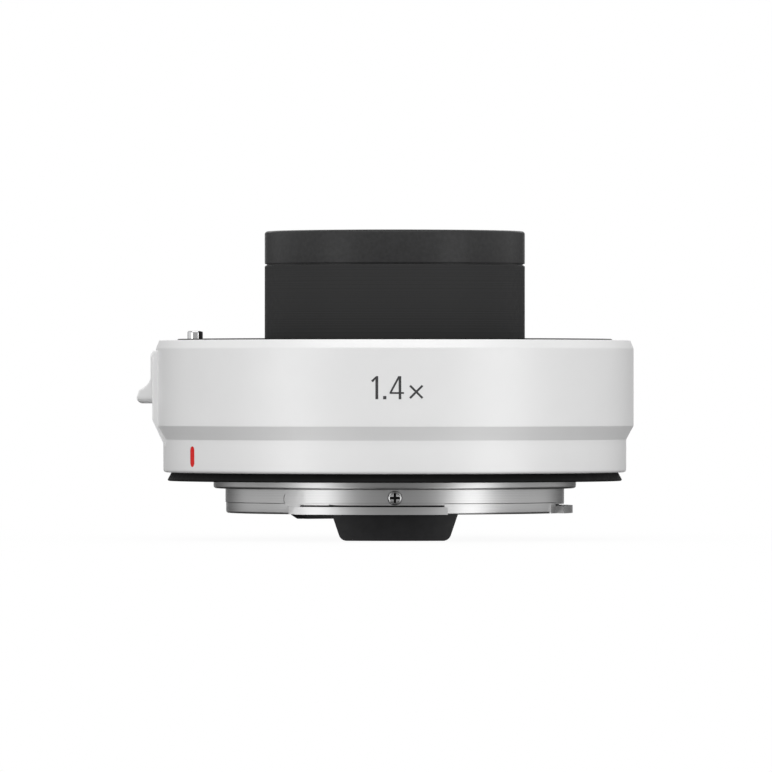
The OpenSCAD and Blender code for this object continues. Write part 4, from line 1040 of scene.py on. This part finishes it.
class CONVERTER_OT_stage(bpy.types.Operator):
    """Sets up the camera, the softboxes, the room and the floor"""
    bl_idname = "converter.stage"
    bl_label = "Studio"

    def execute(self, context):
        scene = context.scene
        scene.view_settings.view_transform = "Standard"
        self.camera(scene)
        # Each lamp's distance, azimuth, elevation, width and height, in metres and degrees
        self.softbox("key", 1.0, 0.0, 52.0, 1.5, 0.9)
        self.softbox("left", 0.6, -50.0, -20.0, 0.26, 0.7)
        self.softbox("right", 0.6, 51.0, -20.0, 0.26, 0.7)
        self.softbox("back", 1.0, 180.0, 40.0, 1.0, 1.0)
        self.room(scene)
        self.floor()
        return {"FINISHED"}

    def camera(self, scene):
        """A long lens square to the marked side, at about half the object's height."""
        data = bpy.data.cameras.new("camera")
        data.lens = 469.0
        data.sensor_width = 36.0
        camera = linked("camera", data)
        camera.location = (-0.00131, -1.5, 0.01329)
        camera.rotation_euler = (math.pi / 2, 0.0, 0.0)
        scene.camera = camera

    def softbox(self, name, distance, azimuth, elevation, width, height):
        """An area lamp at an azimuth from the camera's side and an elevation, turned to the object."""
        a, e = math.radians(azimuth), math.radians(elevation)
        middle = Vector((0.0, 0.0, 0.013))
        data = bpy.data.lights.new(name, "AREA")
        data.shape = "RECTANGLE"
        data.size, data.size_y = width, height
        data.energy = getattr(light(), name)
        lamp = linked(name, data)
        towards = Vector((math.sin(a) * math.cos(e), -math.cos(a) * math.cos(e), math.sin(e)))
        lamp.location = middle + towards * distance
        lamp.rotation_euler = (math.pi / 2 - e, 0.0, a)

    def room(self, scene):
        """White to the camera and through glass; to all else pale at the sides, dim in front and behind."""
        scene.world = bpy.data.worlds.new("room")
        nodes = Nodes(scene.world)
        place = nodes.node("TexCoord").outputs["Generated"]
        split = nodes.node("SeparateXYZ", Vector=place).outputs
        front, side, rear, below = light().front, light().side, light().rear, light().below
        round_about = self.levels(nodes, split["Y"], (
            (-1.0, front), (-0.76, front), (-0.4, side), (0.57, side), (0.8, rear), (1.0, rear)))
        up_and_down = self.levels(nodes, split["Z"], (
            (-1.0, below), (-0.3, below), (-0.02, 1.0), (0.55, 0.85), (1.0, 0.3)))
        seen = nodes.node("LightPath").outputs
        # A white card behind, for reflections only
        card = nodes.math("GREATER_THAN", split["Y"], 0.97)
        shown = nodes.math("MAXIMUM", nodes.math("MULTIPLY", card, seen["Is Glossy Ray"]),
                           nodes.math("MAXIMUM", seen["Is Camera Ray"], seen["Is Transmission Ray"]))
        strength = nodes.math("MAXIMUM", shown, nodes.math("MULTIPLY", round_about, up_and_down))
        nodes.fill(nodes.tree.nodes["Background"], {"Color": (1.0, 1.0, 1.0, 1.0), "Strength": strength})

    def levels(self, nodes, along, stops):
        """Levels that change smoothly with one part of the direction, which goes from -1 to 1."""
        share = nodes.node("MapRange", Value=along, From_Min=-1.0).outputs[0]
        made = nodes.node("ValToRGB", Fac=share)
        ramp = made.color_ramp
        for _ in stops[2:]:
            ramp.elements.new(0.5)
        for stop, (at, strength) in zip(ramp.elements, stops):
            stop.position = (at + 1.0) / 2
            stop.color = (strength, strength, strength, 1.0)
        return made.outputs[0]

    def floor(self):
        """A pale round floor under the rear tab that only the camera sees, with the object's soft shadow."""
        deselect()
        bpy.ops.mesh.primitive_circle_add(vertices=96, radius=0.25, fill_type="NGON",
                                          location=(0.0, 0.0, CAD_BOX[0].z - 0.1 * MM))
        floor = named("studio_floor")
        for ray in ("shadow", "diffuse", "glossy", "transmission"):
            setattr(floor, "visible_" + ray, False)
        made = Finish("studio_floor", colours().floor, 0.9).set(Specular_IOR_Level=0.0)
        away = made.node("VectorMath", {"operation": "LENGTH"}, Vector=made.place).outputs["Value"]
        white = made.node("MapRange", {"interpolation_type": "SMOOTHSTEP"}, Value=away,
                          From_Min=0.04, From_Max=0.14, To_Min=0.95, To_Max=1.0).outputs[0]
        lit = made.node("MixShader", Fac=white)
        made.put(lit.inputs[1], made.shader.outputs[0])
        made.put(lit.inputs[2], made.node("Emission").outputs[0])
        below = made.node("MixShader", Fac=made.node("NewGeometry").outputs["Backfacing"])
        made.put(below.inputs[1], lit.outputs[0])
        made.put(below.inputs[2], made.node("BsdfTransparent").outputs[0])
        made.put(made.tree.nodes["Material Output"].inputs["Surface"], below.outputs[0])
        floor.data.materials.append(made.material)


PIECES = (CONVERTER_OT_carried_over, CONVERTER_OT_glass, CONVERTER_OT_hood, CONVERTER_OT_barrel,
          CONVERTER_OT_lever, CONVERTER_OT_spring, CONVERTER_OT_mount, CONVERTER_OT_screws,
          CONVERTER_OT_number, CONVERTER_OT_stage)


class CONVERTER_PT_sidebar(bpy.types.Panel):
    """Lists the steps that make the converter's looks"""
    bl_idname = "CONVERTER_PT_sidebar"
    bl_label = "Teleconverter"
    bl_space_type = "VIEW_3D"
    bl_region_type = "UI"
    bl_category = "Converter"

    def draw(self, context):
        for piece in PIECES:
            self.layout.operator(piece.bl_idname)
        for group in (sizes(), colours(), light()):
            box = self.layout.box()
            for key in group.__annotations__:
                box.prop(group, key)


CLASSES = (ConverterSizes, ConverterColours, ConverterLight, *PIECES, CONVERTER_PT_sidebar)


def register():
    for made in CLASSES:
        bpy.utils.register_class(made)
    bpy.types.Scene.converter_sizes = bpy.props.PointerProperty(type=ConverterSizes)
    bpy.types.Scene.converter_colours = bpy.props.PointerProperty(type=ConverterColours)
    bpy.types.Scene.converter_light = bpy.props.PointerProperty(type=ConverterLight)


def unregister():
    del bpy.types.Scene.converter_light
    del bpy.types.Scene.converter_colours
    del bpy.types.Scene.converter_sizes
    for made in reversed(CLASSES):
        bpy.utils.unregister_class(made)


def main():
    register()
    for piece in PIECES:
        group, name = piece.bl_idname.split(".")
        getattr(getattr(bpy.ops, group), name)()


if __name__ == "__main__":
    main()
